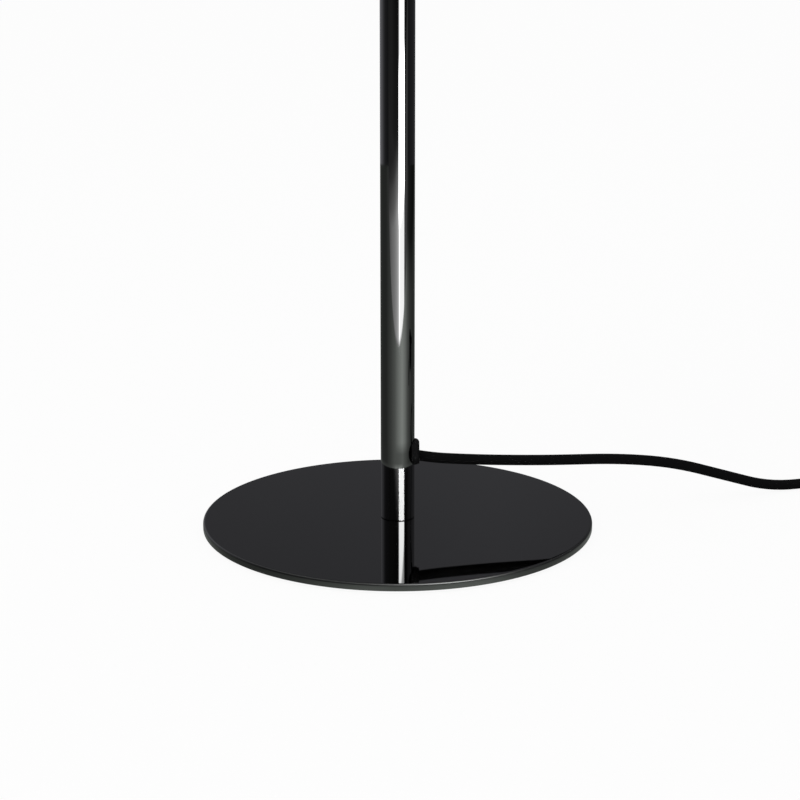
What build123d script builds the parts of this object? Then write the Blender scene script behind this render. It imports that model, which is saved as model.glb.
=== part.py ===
# Bedside lamp: a thin round steel base, a straight tube stem with the mains cord out of its side,
# an upright bulb holder, a fabric shade on a wire frame, a rocker switch in the cord and a plug.
# Millimetres, +Z up, origin under the middle of the base, +X the side where the cord leaves.
from build123d import *

import math
import os

os.makedirs("parts", exist_ok=True)

# Gaps shared by all pieces
press_gap = 0.05  # pressed, glued or welded seats
thread_gap = 0.10  # screws, nipples and pieces that slide together
running_gap = 0.06  # pivots in their holes
moving_gap = 0.40  # a moving piece beside a wall

# Base
plate_diameter = 220.0
plate_thickness = 4.0
plate_top_edge = 0.2
plate_bottom_edge = 0.3
pad_thickness = 1.5
pad_inset = 5.0
pad_hole_diameter = 24.0

# Stem
stem_diameter = 19.0
stem_wall = 1.5
stem_length = 328.0
stem_foot_chamfer = 0.4

# Screw and pin that hold the stem on the plate
foot_insert_length = 24.0
foot_screw_diameter = 6.0
foot_screw_reach = 16.0
foot_screw_head_diameter = 12.0
foot_screw_key = 4.0
foot_screw_key_depth = 2.2
foot_pin_diameter = 2.0
foot_pin_offset = 6.2
foot_pin_floor = 1.6
foot_pin_reach = 5.0

# Bushing where the cord leaves the stem
bushing_height = 38.3
bushing_diameter = 15.0
bushing_back = 7.9
bushing_stand = 2.7
bushing_edge = 2.5
bushing_barrel_diameter = 10.4
bushing_barrel_start = 4.6
exit_offset = 0.4
exit_tilt = 9.0

# Cord
cord_diameter = 6.0
core_diameter = 2.1
core_spread = 2.6
stem_bend_radius = 9.0
stem_cord_gap = 0.2
sheath_end_gap = 10.0
core_bend_radius = 1.5
core_start_run = 3.0
core_fan_run = 6.0
core_end_run = 2.5

# Insert, nipple and bulb holder at the top of the stem
top_insert_length = 14.0
top_flange_thickness = 2.5
nipple_diameter = 10.0
nipple_bore = 7.2
nipple_depth = 12.0
nipple_reach = 8.5
cap_neck_diameter = 19.0
cap_neck_height = 5.0
cap_shoulder_height = 15.0
cap_height = 24.0
cap_diameter = 40.0
cap_wall = 1.8
grub_diameter = 3.0
grub_length = 3.6
grub_height = 2.6
spigot_height = 6.0
spigot_wall = 1.8
skirt_diameter = 39.0
skirt_height = 34.0
skirt_mouth_diameter = 30.0
core_disc_below = 8.0
core_disc_above = 3.0
terminal_size = 5.0
terminal_height = 5.0
terminal_drop = 2.0
terminal_offset = 8.0
terminal_screw_diameter = 2.5
terminal_screw_head = 4.0
terminal_screw_head_height = 1.2
shell_bore = 27.0
shell_thickness = 0.4
shell_height = 18.0
leaf_width = 6.0
leaf_thickness = 0.5
leaf_rise = 3.2
leaf_foot_end = 7.0
leaf_bend = 3.0
leaf_top_bend = 0.5
leaf_top_end = 4.0

# Bulb
bulb_diameter = 60.0
bulb_length = 108.0
bulb_cap_diameter = 26.2
bulb_cap_start = 4.5
bulb_cap_end = 26.0
bulb_tip_diameter = 9.2
bulb_tip_height = 1.2
bulb_parting_diameter = 44.7
bulb_glass_wall = 1.2

# Shade
shade_bottom_height = 308.0
shade_height = 172.0
shade_bottom_diameter = 250.0
shade_top_diameter = 220.0
shade_cloth = 0.8
shade_lining = 0.4
trim_width = 10.0
trim_thickness = 0.5
wire_diameter = 3.0
hub_height = 37.5
hub_inner_clearance = 0.5
hub_diameter = 62.0
hub_thickness = 1.5
hub_arms = 3
first_arm_angle = 90.0
grip_ring_diameter = 56.0
grip_ring_flange = 2.0
grip_ring_collar = 3.5
grip_ring_height = 7.0

# Rocker switch in the cord
switch_x = 347.0
switch_y = 82.0
switch_length = 66.0
switch_width = 27.0
switch_end_width = 15.0
switch_corner = 4.0
switch_parting = 9.0
switch_wall = 1.8
switch_edge = 3.0
switch_groove = 0.35
switch_pocket_length = 51.0
switch_lid_rise = 4.0
sheath_stub = 8.0
boss_diameter = 5.4
boss_x = 18.0
shell_screw_diameter = 2.6
shell_screw_head = 4.6
shell_screw_head_height = 1.6
shell_screw_depth = 0.8
shell_screw_top = 13.5
rocker_length = 24.4
rocker_width = 12.0
rocker_rise = 3.5
rocker_skirt = 1.5
rocker_swing = 16.0
rocker_boss = 6.0
rocker_boss_drop = 4.5
trunnion_diameter = 3.0
trunnion_length = 1.8
cheek_thickness = 2.0
cheek_length = 8.0
cheek_drop = 3.0
plunger_reach = 7.5
plunger_tip_diameter = 2.4
plunger_head_diameter = 3.2
plunger_head_bottom = 4.3
plunger_head_top = 2.0
plunger_bore_top = 1.8
tip_gap = 0.06
spring_wire = 0.4
spring_turns = 3
seesaw_length = 15.0
seesaw_width = 5.0
seesaw_thickness = 1.4
seesaw_swing = 20.0
fulcrum_height = 3.2
fulcrum_diameter = 1.6
fulcrum_post = 1.2
contact_x = 6.5
contact_diameter = 3.0
contact_rivet = 0.5
contact_plate = 1.0
block_x = 11.5
block_y = -5.5
block_size = 4.0
block_height = 5.2

# Coil of the cord that is put away, and its tie
coil_x = 391.0
coil_y = 17.0
coil_inner_radius = 24.0
coil_turns_in = 3
coil_half_turns_out = 5
coil_climb_inset = 1.2
coil_gap = 0.6
tie_thickness = 1.0
tie_ease = 0.3
tie_width = 5.0

# Two-pin plug
plug_face_x = 312.0
plug_y = -53.0
plug_width = 35.0
plug_height = 13.6
plug_corner = 5.6
plug_straight = 15.0
plug_length = 38.0
plug_neck_width = 15.0
plug_neck_height = 11.0
relief_length = 22.0
relief_end_diameter = 7.6
relief_ribs = 5
relief_groove = 1.0
pin_diameter = 4.0
pin_length = 19.0
pin_spacing = 18.6
pin_edge = 0.8
pin_core_diameter = 3.0
pin_core_depth = 12.0
sleeve_diameter = 3.8
sleeve_length = 10.0

# Heights and radii that follow from the sizes above
plate_radius = plate_diameter / 2
plate_bottom = pad_thickness
plate_top = plate_bottom + plate_thickness
stem_radius = stem_diameter / 2
stem_bore = stem_radius - stem_wall
stem_top = plate_top + stem_length
cord_radius = cord_diameter / 2
core_radius = core_diameter / 2
bushing_z = plate_top + bushing_height
exit_z = bushing_z - exit_offset
exit_x = stem_radius + bushing_stand
exit_drop = math.tan(math.radians(exit_tilt))
stem_cord_x = -(stem_bore - cord_radius - stem_cord_gap)
sheath_end = stem_top - top_insert_length - sheath_end_gap
cap_bottom = stem_top + top_flange_thickness
cap_top = cap_bottom + cap_height
cap_radius = cap_diameter / 2
core_disc_bottom = cap_top - core_disc_below
core_disc_top = cap_top + core_disc_above
spigot_radius = cap_radius - cap_wall - thread_gap
core_disc_radius = spigot_radius - spigot_wall - thread_gap
terminal_top = core_disc_bottom - terminal_drop + terminal_height
terminal_bottom = core_disc_bottom - terminal_drop
skirt_radius = skirt_diameter / 2
skirt_top = cap_top + skirt_height
bulb_bottom = core_disc_top + leaf_rise + thread_gap
bulb_ball_drop = math.sqrt(bulb_diameter**2 - bulb_parting_diameter**2) / 2
bulb_parting = bulb_length - bulb_diameter / 2 - bulb_ball_drop
hub_bottom = stem_top + hub_height + top_flange_thickness
hub_top = hub_bottom + hub_thickness
hub_radius = hub_diameter / 2
shade_bottom = plate_top + shade_bottom_height
shade_top = shade_bottom + shade_height
wire_radius = wire_diameter / 2
seesaw_pivot = switch_wall + fulcrum_height
rocker_pivot = seesaw_pivot + seesaw_thickness + tip_gap + plunger_reach
switch_top = rocker_pivot + switch_lid_rise
coil_pitch = cord_diameter + coil_gap
coil_low = tie_thickness + thread_gap + cord_radius
coil_high = coil_low + coil_pitch
coil_outer_radius = coil_inner_radius + coil_turns_in * coil_pitch
coil_end_radius = coil_inner_radius + coil_half_turns_out * coil_pitch / 2
plug_middle = plug_height / 2
switch_start = switch_x - switch_length / 2
switch_end = switch_x + switch_length / 2

# Routes of the free cord, chosen by hand
lamp_cord_route = [
    (exit_x, 0.0, exit_z - exit_x * exit_drop),
    (exit_x + 8.0, 0.0, exit_z - (exit_x + 8.0) * exit_drop),
    (34.0, 1.1, 39.1),
    (52.0, 2.8, 38.0),
    (70.0, 4.5, 37.3),
    (90.0, 6.7, 36.7),
    (126.0, 17.1, 34.5),
    (160.0, 31.4, 27.6),
    (192.0, 47.2, 14.9),
    (222.0, 61.0, 3.3),
    (254.0, 72.0, 3.0),
    (282.0, 80.0, 3.7),
    (300.0, switch_y, switch_parting),
    (switch_start, switch_y, switch_parting),
]
coil_lead_route = [
    (switch_end, switch_y, switch_parting),
    (switch_end + 28.0, switch_y, switch_parting),
    (coil_x + coil_outer_radius, coil_y + 40.0, coil_low),
    (coil_x + coil_outer_radius, coil_y + cord_diameter, coil_low),
]
plug_tail_route = [
    (coil_x + coil_end_radius, coil_y - cord_diameter, coil_high),
    (coil_x + coil_end_radius, coil_y - 37.0, coil_high),
    (408.0, plug_y, plug_middle),
    (plug_face_x + plug_length + relief_length, plug_y, plug_middle),
]
arc_share = 0.45


def save(node, shape):
    """Writes one named piece."""
    export_step(shape, f"parts/{node}.step")


def rod(radius, bottom, top):
    """An upright round bar on the Z axis."""
    return extrude(Plane.XY.offset(bottom) * Circle(radius), top - bottom)


def tube(outer, inner, bottom, top):
    """An upright round tube on the Z axis."""
    return extrude(Plane.XY.offset(bottom) * (Circle(outer) - Circle(inner)), top - bottom)


def lathe(outline):
    """Turns a closed outline of (radius, height) points about the Z axis."""
    points = [(radius, 0, height) for radius, height in outline]
    return revolve(make_face(Polyline(*points, close=True)), axis=Axis.Z)


def peg(radius, start, direction, length):
    """A round bar from a point along a direction."""
    return extrude(Plane(origin=start, z_dir=direction) * Circle(radius), length)


def block(low, high):
    """A box between two corners."""
    size = [b - a for a, b in zip(low, high)]
    middle = [(a + b) / 2 for a, b in zip(low, high)]
    return Pos(*middle) * Box(*size)


def swept(radius, path):
    """A round tube along a path, with its volume compared with section times length."""
    start = Plane(origin=path @ 0, z_dir=path % 0)
    solid = sweep(start * Circle(radius), path=path)
    print("  volume share", round(solid.volume / (math.pi * radius**2 * path.length), 4))
    return solid


def rounded_route(name, points):
    """Straight runs joined by arcs as large as the runs allow."""
    corners = [Vector(*point) for point in points]
    radii = []
    for before, here, after in zip(corners, corners[1:], corners[2:]):
        turn = math.radians((here - before).get_angle(after - here))
        shorter = min((here - before).length, (after - here).length)
        radii.append(arc_share * shorter / math.tan(turn / 2))
    path = FilletPolyline(*points, radius=radii)
    print(name, "length", round(path.length, 1), "radii", [round(radius) for radius in radii])
    return path


def half_turn(start, direction, end):
    """Two arcs from start along direction to end, where the path runs the other way."""
    across = end - start
    middle = (start + end) * 0.5 + direction * (across.length / 2)
    first = Edge.make_tangent_arc(start, direction, middle)
    second = Edge.make_tangent_arc(middle, across, end)
    return [first, second]


# Base plate, its pad and the fixing under the stem
def foot_screw_outline(gap):
    """Countersunk screw from below, or with a gap the hole for it."""
    head = foot_screw_head_diameter / 2 + gap
    shank = foot_screw_diameter / 2 + gap
    head_height = (foot_screw_head_diameter - foot_screw_diameter) / 2
    end = plate_top + foot_screw_reach + gap
    return [
        (0, plate_bottom),
        (head, plate_bottom),
        (shank, plate_bottom + head_height),
        (shank, end),
        (0, end),
    ]


def foot_pin_body(gap):
    """Pin that stops the stem from turning, or with a gap the hole for it."""
    bottom = plate_bottom + foot_pin_floor - gap
    top = plate_top + foot_pin_reach + gap
    return Pos(0, foot_pin_offset, 0) * rod(foot_pin_diameter / 2 + gap, bottom, top)


def make_base_plate():
    plate = rod(plate_radius, plate_bottom, plate_top)
    plate = fillet(plate.edges().sort_by(Axis.Z)[-1], plate_top_edge)
    plate = fillet(plate.edges().sort_by(Axis.Z)[0], plate_bottom_edge)
    return plate - lathe(foot_screw_outline(thread_gap)) - foot_pin_body(press_gap)


def make_base_pad():
    return tube(plate_radius - pad_inset, pad_hole_diameter / 2, 0, pad_thickness)


def make_foot_screw():
    socket = Plane.XY.offset(plate_bottom) * RegularPolygon(foot_screw_key / 2, 6, major_radius=False)
    return lathe(foot_screw_outline(0)) - extrude(socket, foot_screw_key_depth)


def make_foot_insert():
    insert = rod(stem_bore - press_gap, plate_top, plate_top + foot_insert_length)
    return insert - lathe(foot_screw_outline(thread_gap)) - foot_pin_body(press_gap)


# Stem with the side hole, and the bushing in it
def barrel(gap):
    """Barrel of the bushing, through the stem's wall below the middle of its flange."""
    height = exit_z - (stem_radius - stem_wall / 2) * exit_drop
    start = (bushing_barrel_start - gap, 0, height)
    return peg(bushing_barrel_diameter / 2 + gap, start, (1, 0, 0), exit_x - bushing_barrel_start)


def make_stem():
    stem = tube(stem_radius, stem_bore, plate_top, stem_top)
    foot_edge = stem.edges().filter_by(GeomType.CIRCLE).group_by(Axis.Z)[0].sort_by(SortBy.RADIUS)[-1]
    return chamfer(foot_edge, stem_foot_chamfer) - barrel(press_gap)


def exit_bore(radius):
    """Sloping way of the cord through the bushing."""
    slope = Vector(1, 0, -exit_drop).normalized()
    return peg(radius, (0, 0, exit_z), slope, 2 * exit_x)


def make_bushing():
    flange = peg(bushing_diameter / 2, (bushing_back, 0, bushing_z), (1, 0, 0), exit_x - bushing_back)
    flange = fillet(flange.edges().sort_by(Axis.X)[-1], bushing_edge)
    flange -= rod(stem_radius + press_gap, plate_top, stem_top)
    return flange + barrel(0) - exit_bore(cord_radius + press_gap)


# Cord inside the stem, and its two cores up to the holder
def make_stem_cord():
    path = FilletPolyline(
        lamp_cord_route[0],
        (stem_cord_x, 0, exit_z - stem_cord_x * exit_drop),
        (stem_cord_x, 0, sheath_end),
        radius=stem_bend_radius,
    )
    print("stem_cord length", round(path.length, 1))
    return swept(cord_radius, path)


def make_core(side):
    beside = side * core_spread / 2
    corners = [
        (stem_cord_x, beside, sheath_end),
        (stem_cord_x, beside, sheath_end + core_start_run),
        (0, beside, sheath_end + core_start_run + core_fan_run),
        (0, beside, cap_bottom + nipple_reach),
        (0, side * terminal_offset, terminal_bottom - core_end_run),
        (0, side * terminal_offset, terminal_bottom - press_gap),
    ]
    return swept(core_radius, FilletPolyline(*corners, radius=core_bend_radius))


# Top of the stem and the bulb holder
def make_top_insert():
    outline = [
        (nipple_diameter / 2 + thread_gap, stem_top - top_insert_length),
        (stem_bore - press_gap, stem_top - top_insert_length),
        (stem_bore - press_gap, stem_top),
        (stem_radius, stem_top),
        (stem_radius, cap_bottom),
        (nipple_diameter / 2 + thread_gap, cap_bottom),
    ]
    return lathe(outline)


def make_nipple():
    return tube(nipple_diameter / 2, nipple_bore / 2, stem_top - nipple_depth, cap_bottom + nipple_reach)


def make_grub_screw():
    """Grub screw across the neck of the holder's cap, onto the nipple."""
    start = (nipple_diameter / 2 + thread_gap, 0, cap_bottom + grub_height)
    return peg(grub_diameter / 2, start, (1, 0, 0), grub_length)


def grub_hole():
    middle = (0, 0, cap_bottom + grub_height)
    return peg(grub_diameter / 2 + press_gap, middle, (1, 0, 0), cap_neck_diameter)


def make_holder_cap():
    neck = cap_neck_diameter / 2
    bore = nipple_diameter / 2 + thread_gap
    rim = cap_radius - cap_wall
    thread_end = cap_bottom + nipple_reach
    outline = [
        (bore, cap_bottom),
        (neck, cap_bottom),
        (neck, cap_bottom + cap_neck_height),
        (cap_radius, cap_bottom + cap_shoulder_height),
        (cap_radius, cap_top),
        (rim, cap_top),
        (rim, cap_bottom + cap_shoulder_height + cap_wall),
        (neck - cap_wall, thread_end),
        (bore, thread_end),
    ]
    return lathe(outline) - grub_hole()


def make_holder_skirt():
    ledge = core_disc_top + thread_gap
    seat = spigot_radius - spigot_wall
    mouth = skirt_mouth_diameter / 2
    outline = [
        (seat, cap_top - spigot_height),
        (spigot_radius, cap_top - spigot_height),
        (spigot_radius, cap_top),
        (skirt_radius, cap_top),
        (skirt_radius, skirt_top),
        (mouth, skirt_top),
        (mouth, ledge),
        (seat, ledge),
    ]
    return lathe(outline)


def terminals(gap):
    """Two brass blocks in the underside of the holder's insulator."""
    half = terminal_size / 2 + gap
    pair = Part()
    for side in (-1, 1):
        middle = side * terminal_offset
        pair += block((-half, middle - half, terminal_bottom), (half, middle + half, terminal_top + gap))
    return pair


def terminal_screw(x, y, top, gap, depth):
    """Small screw with a round head, down into a block whose top is given."""
    shank = rod(terminal_screw_diameter / 2 + gap, top - depth, top)
    head = rod(terminal_screw_head / 2, top, top + terminal_screw_head_height)
    return Pos(x, y, 0) * (shank + head)


def make_holder_insulator():
    return rod(core_disc_radius, core_disc_bottom, core_disc_top) - terminals(press_gap)


def make_contact_leaf():
    under = leaf_rise - leaf_thickness
    corners = [
        (leaf_foot_end, 0),
        (leaf_foot_end, leaf_thickness),
        (leaf_bend, leaf_thickness),
        (-leaf_top_bend, leaf_rise),
        (-leaf_top_end, leaf_rise),
        (-leaf_top_end, under),
        (-leaf_top_bend - leaf_thickness / 2, under),
        (leaf_bend - leaf_thickness / 2, 0),
    ]
    strip = make_face(Polyline(*[(x, 0, core_disc_top + z) for x, z in corners], close=True))
    return extrude(strip, leaf_width / 2, both=True)


def make_thread_shell():
    inner = shell_bore / 2
    return tube(inner + shell_thickness, inner, core_disc_top, core_disc_top + shell_height)


# Bulb
def make_bulb_tip():
    return rod(bulb_tip_diameter / 2, bulb_bottom, bulb_bottom + bulb_tip_height)


def make_bulb_insulator():
    low = bulb_bottom + bulb_tip_height
    high = bulb_bottom + bulb_cap_start
    return lathe([(0, low), (bulb_tip_diameter / 2, low), (bulb_cap_diameter / 2 - 2, high), (0, high)])


def make_bulb_cap():
    return rod(bulb_cap_diameter / 2, bulb_bottom + bulb_cap_start, bulb_bottom + bulb_cap_end)


def bulb_ball(radius):
    middle = bulb_bottom + bulb_length - bulb_diameter / 2
    return Pos(0, 0, middle) * Sphere(radius)


def make_bulb_housing():
    low = bulb_bottom + bulb_cap_end
    high = bulb_bottom + bulb_parting
    foot = bulb_cap_diameter / 2
    neck = bulb_parting_diameter / 2
    side = Spline(
        (foot, 0, low),
        (neck, 0, high),
        tangents=[(0, 0, 1), (1, 0, bulb_parting / bulb_diameter)],
    )
    edges = [Line((0, 0, high), (0, 0, low)), Line((0, 0, low), (foot, 0, low)), side]
    edges.append(Line((neck, 0, high), (0, 0, high)))
    return revolve(make_face(edges), axis=Axis.Z)


def make_bulb_globe():
    parting = bulb_bottom + bulb_parting + press_gap
    shell = bulb_ball(bulb_diameter / 2) - bulb_ball(bulb_diameter / 2 - bulb_glass_wall)
    return shell - rod(bulb_diameter, bulb_bottom, parting)


# Shade
def shade_radius(height, inset):
    """Radius inside the shade's outer face at a height above its lower edge."""
    slope = (shade_top_diameter - shade_bottom_diameter) / 2 / shade_height
    return shade_bottom_diameter / 2 + slope * height - inset


def shade_wall(outer_inset, inner_inset):
    """Cone wall between two insets from the shade's outer face."""
    outline = [
        (shade_radius(0, inner_inset), shade_bottom),
        (shade_radius(0, outer_inset), shade_bottom),
        (shade_radius(shade_height, outer_inset), shade_top),
        (shade_radius(shade_height, inner_inset), shade_top),
    ]
    return lathe(outline)


lining_outer = shade_cloth + press_gap
lining_inner = lining_outer + shade_lining
trim_inner = lining_inner + press_gap + trim_thickness


def make_trim(edge_height, up):
    """Tape folded over one edge of the shade; up points from the edge into the shade's height."""
    lip = edge_height - up * press_gap
    fold = lip - up * trim_thickness
    end = edge_height + up * trim_width
    insets = [
        (-press_gap - trim_thickness, end),
        (-press_gap - trim_thickness, fold),
        (trim_inner, fold),
        (trim_inner, end),
        (lining_inner + press_gap, end),
        (lining_inner + press_gap, lip),
        (-press_gap, lip),
        (-press_gap, end),
    ]
    return lathe([(shade_radius(height, inset), shade_bottom + height) for inset, height in insets])


def ring_radius(height):
    """Middle of the wire ring that the shade's tape covers."""
    return shade_radius(height, trim_inner + press_gap + wire_radius)


def make_wire_ring(height):
    return Pos(0, 0, shade_bottom + height) * Torus(ring_radius(height), wire_radius)


def make_hub():
    return tube(hub_radius, skirt_radius + hub_inner_clearance, hub_bottom, hub_top)


def make_arms():
    start = Vector(hub_radius + press_gap, 0, (hub_bottom + hub_top) / 2)
    low_ring = Vector(ring_radius(wire_radius), 0, shade_bottom + wire_radius)
    way = low_ring - start
    length = way.length - wire_radius - press_gap
    arms = Part()
    for index in range(hub_arms):
        turn = Rot(0, 0, first_arm_angle + index * 360 / hub_arms)
        arm = peg(wire_radius, start, way, length)
        arms += turn * (arm - rod(hub_radius + press_gap, hub_bottom, hub_top))
    return arms


def make_grip_ring(face, up):
    """Threaded ring; its flange lies on the hub at face, and up points away from the hub."""
    bore = skirt_radius + press_gap
    outline = [
        (bore, face),
        (grip_ring_diameter / 2, face),
        (grip_ring_diameter / 2, face + up * grip_ring_flange),
        (bore + grip_ring_collar, face + up * grip_ring_flange),
        (bore + grip_ring_collar, face + up * grip_ring_height),
        (bore, face + up * grip_ring_height),
    ]
    return lathe(outline)


# Rocker switch, in its own place: x along the cord, middle at the origin, floor at zero
def switch_outline(inset, height):
    """Boat-shaped plan of the switch, inset from its outer wall."""
    end = switch_length / 2 - inset
    narrow = switch_end_width / 2 - inset
    wide = switch_width / 2 - inset
    edges = [
        ThreePointArc((-end, narrow), (0, wide), (end, narrow)),
        Line((end, narrow), (end, -narrow)),
        ThreePointArc((end, -narrow), (0, -wide), (-end, -narrow)),
        Line((-end, -narrow), (-end, narrow)),
    ]
    face = make_face(edges)
    return Plane.XY.offset(height) * fillet(face.vertices(), switch_corner - inset)


def pocket(bottom, top):
    """Room inside the switch between its two end blocks."""
    half = switch_pocket_length / 2
    room = extrude(switch_outline(switch_wall, bottom), top - bottom)
    return room & block((-half, -switch_width, bottom), (half, switch_width, top))


def cord_channel():
    start = (-switch_length, 0, switch_parting)
    return peg(cord_radius + press_gap, start, (1, 0, 0), 2 * switch_length)


def shell_screw(gap):
    """Screw from below through the lower shell into the upper one."""
    head_top = shell_screw_depth + shell_screw_head_height
    shank = rod(shell_screw_diameter / 2 + gap, shell_screw_depth, shell_screw_top + gap)
    return shank + rod(shell_screw_head / 2 + gap, shell_screw_depth, head_top)


def at_bosses(shape):
    return Pos(-boss_x, 0, 0) * shape + Pos(boss_x, 0, 0) * shape


def make_switch_lower():
    shell = extrude(switch_outline(0, 0), switch_parting)
    shell = fillet(shell.edges().group_by(Axis.Z)[0], switch_edge)
    shell = chamfer(shell.edges().group_by(Axis.Z)[-1], switch_groove)
    shell -= pocket(switch_wall, switch_parting)
    shell += at_bosses(rod(boss_diameter / 2, 0, switch_parting))
    mouth = rod(shell_screw_head / 2 + thread_gap, 0, shell_screw_depth)
    return shell - cord_channel_ends() - at_bosses(shell_screw(thread_gap) + mouth)


def cord_channel_ends():
    """The cord's way through the two end blocks only."""
    half = switch_pocket_length / 2 - press_gap
    width = cord_diameter
    middle = block((-half, -width, 0), (half, width, 2 * switch_parting))
    return cord_channel() - middle


def make_switch_upper():
    roof = switch_top - switch_wall
    shell = extrude(switch_outline(0, switch_parting), switch_top - switch_parting)
    shell = fillet(shell.edges().group_by(Axis.Z)[-1], switch_edge)
    shell = chamfer(shell.edges().group_by(Axis.Z)[0], switch_groove)
    shell -= pocket(switch_parting, roof)
    shell += at_bosses(rod(boss_diameter / 2, switch_parting, roof))
    window = rocker_length / 2 + moving_gap
    side = rocker_width / 2 + moving_gap
    for sign in (-1, 1):
        inner = sign * side
        outer = sign * (side + cheek_thickness)
        low = (-cheek_length / 2, min(inner, outer), rocker_pivot - cheek_drop)
        shell += block(low, (cheek_length / 2, max(inner, outer), roof))
    shell -= block((-window, -side, roof - switch_wall), (window, side, switch_top + switch_wall))
    reach = 2 * (side + cheek_thickness)
    shell -= peg(trunnion_diameter / 2 + running_gap, (0, -reach / 2, rocker_pivot), (0, 1, 0), reach)
    return shell - cord_channel_ends() - at_bosses(shell_screw(thread_gap))


def tilted(shape, pivot, angle):
    """Turns a piece about a cross pivot of the switch; a positive angle lowers its +X end."""
    return Pos(0, 0, pivot) * Rot(0, angle, 0) * Pos(0, 0, -pivot) * shape


def make_rocker():
    radius = rocker_length / 2
    wing = rocker_rise + radius * math.tan(math.radians(rocker_swing / 2))
    tip = math.asin(wing / math.hypot(radius, wing))
    top_x = radius * math.cos(tip)
    top_z = radius * math.sin(tip)
    low_x = math.sqrt(radius**2 - rocker_skirt**2)
    half = rocker_boss / 2

    def at(x, z):
        return (x, 0, rocker_pivot + z)

    edges = [
        Line(at(-top_x, top_z), at(0, rocker_rise)),
        Line(at(0, rocker_rise), at(top_x, top_z)),
        ThreePointArc(at(top_x, top_z), at(radius, 0), at(low_x, -rocker_skirt)),
        Polyline(
            at(low_x, -rocker_skirt),
            at(half, -rocker_skirt),
            at(half, -rocker_boss_drop),
            at(-half, -rocker_boss_drop),
            at(-half, -rocker_skirt),
            at(-low_x, -rocker_skirt),
        ),
        ThreePointArc(at(-low_x, -rocker_skirt), at(-radius, 0), at(-top_x, top_z)),
    ]
    body = extrude(make_face(edges), rocker_width / 2, both=True)
    reach = rocker_width + 2 * trunnion_length
    body += peg(trunnion_diameter / 2, (0, -reach / 2, rocker_pivot), (0, 1, 0), reach)
    bore = plunger_head_diameter / 2 + thread_gap
    body -= rod(bore, rocker_pivot - rocker_boss_drop, rocker_pivot + plunger_bore_top)
    return tilted(body, rocker_pivot, -rocker_swing / 2)


def make_plunger():
    tip = plunger_tip_diameter / 2
    ball = rocker_pivot - plunger_reach + tip
    plunger = Pos(0, 0, ball) * Sphere(tip) + rod(tip, ball, rocker_pivot - plunger_head_top)
    head_bottom = rocker_pivot - plunger_head_bottom
    plunger += rod(plunger_head_diameter / 2, head_bottom, rocker_pivot - plunger_head_top)
    return tilted(plunger, rocker_pivot, -rocker_swing / 2)


def make_spring():
    """Open coil spring between the plunger's head and the top of its bore."""
    low = rocker_pivot - plunger_head_top + spring_wire / 2 + press_gap
    high = rocker_pivot + plunger_bore_top - spring_wire / 2 - press_gap
    radius = plunger_head_diameter / 2 - spring_wire
    count = 2 * spring_turns
    edges = []
    for step in range(count):
        side = 1 if step % 2 == 0 else -1
        start = Vector(side * radius, 0, low + (high - low) * step / count)
        end = Vector(-side * radius, 0, low + (high - low) * (step + 1) / count)
        edges += half_turn(start, Vector(0, side, 0), end)
    return tilted(swept(spring_wire / 2, Wire(edges)), rocker_pivot, -rocker_swing / 2)


def make_seesaw():
    half = seesaw_length / 2
    side = seesaw_width / 2
    plate = block((-half, -side, seesaw_pivot), (half, side, seesaw_pivot + seesaw_thickness))
    groove = peg(fulcrum_diameter / 2 + running_gap, (0, -side, seesaw_pivot), (0, 1, 0), seesaw_width)
    rivet = rod(contact_diameter / 2, seesaw_pivot - contact_rivet, seesaw_pivot)
    plate = plate - groove + Pos(-contact_x, 0, 0) * rivet
    return tilted(plate, seesaw_pivot, seesaw_swing / 2)


def contact_block(side):
    """Screw block of one switch contact, hollow for its screw."""
    half = block_size / 2
    middle = side * block_x
    low = (middle - half, block_y - half, switch_wall)
    body = block(low, (middle + half, block_y + half, switch_wall + block_height))
    top = switch_wall + block_height
    return body - terminal_screw(middle, block_y, top, thread_gap, block_height - contact_plate)


def make_fulcrum_contact():
    side = seesaw_width / 2
    half = fulcrum_post / 2
    plate_edge = block_x + block_size / 2
    plate_end = (plate_edge, side, switch_wall + contact_plate)
    plate = block((-fulcrum_diameter, block_y - block_size / 2, switch_wall), plate_end)
    post = block((-half, -side, switch_wall), (half, side, seesaw_pivot))
    ridge = peg(fulcrum_diameter / 2, (0, -side, seesaw_pivot), (0, 1, 0), seesaw_width)
    return plate - block_room(1) + post + ridge + contact_block(1)


def block_room(side):
    """Space of the screw block, cut from the plate that carries it so that its hole stays open."""
    half = block_size / 2
    middle = side * block_x
    low = (middle - half, block_y - half, switch_wall)
    return block(low, (middle + half, block_y + half, switch_wall + contact_plate))


def make_fixed_contact():
    side = seesaw_width / 2
    plate_edge = -block_x - block_size / 2
    low = (plate_edge, block_y - block_size / 2, switch_wall)
    plate = block(low, (-contact_x + contact_diameter / 2, side, switch_wall + contact_plate))
    tilt = math.radians(seesaw_swing / 2)
    rivet_edge = contact_x + contact_diameter / 2
    closed = seesaw_pivot - rivet_edge * math.sin(tilt) - contact_rivet * math.cos(tilt)
    button = Pos(-contact_x, 0, 0) * rod(contact_diameter / 2, switch_wall, closed - running_gap)
    return plate - block_room(-1) + button + contact_block(-1)


def make_terminal_screws():
    top = switch_wall + block_height
    depth = block_height - contact_plate
    left = terminal_screw(-block_x, block_y, top, 0, depth)
    return left + terminal_screw(block_x, block_y, top, 0, depth)


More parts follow.
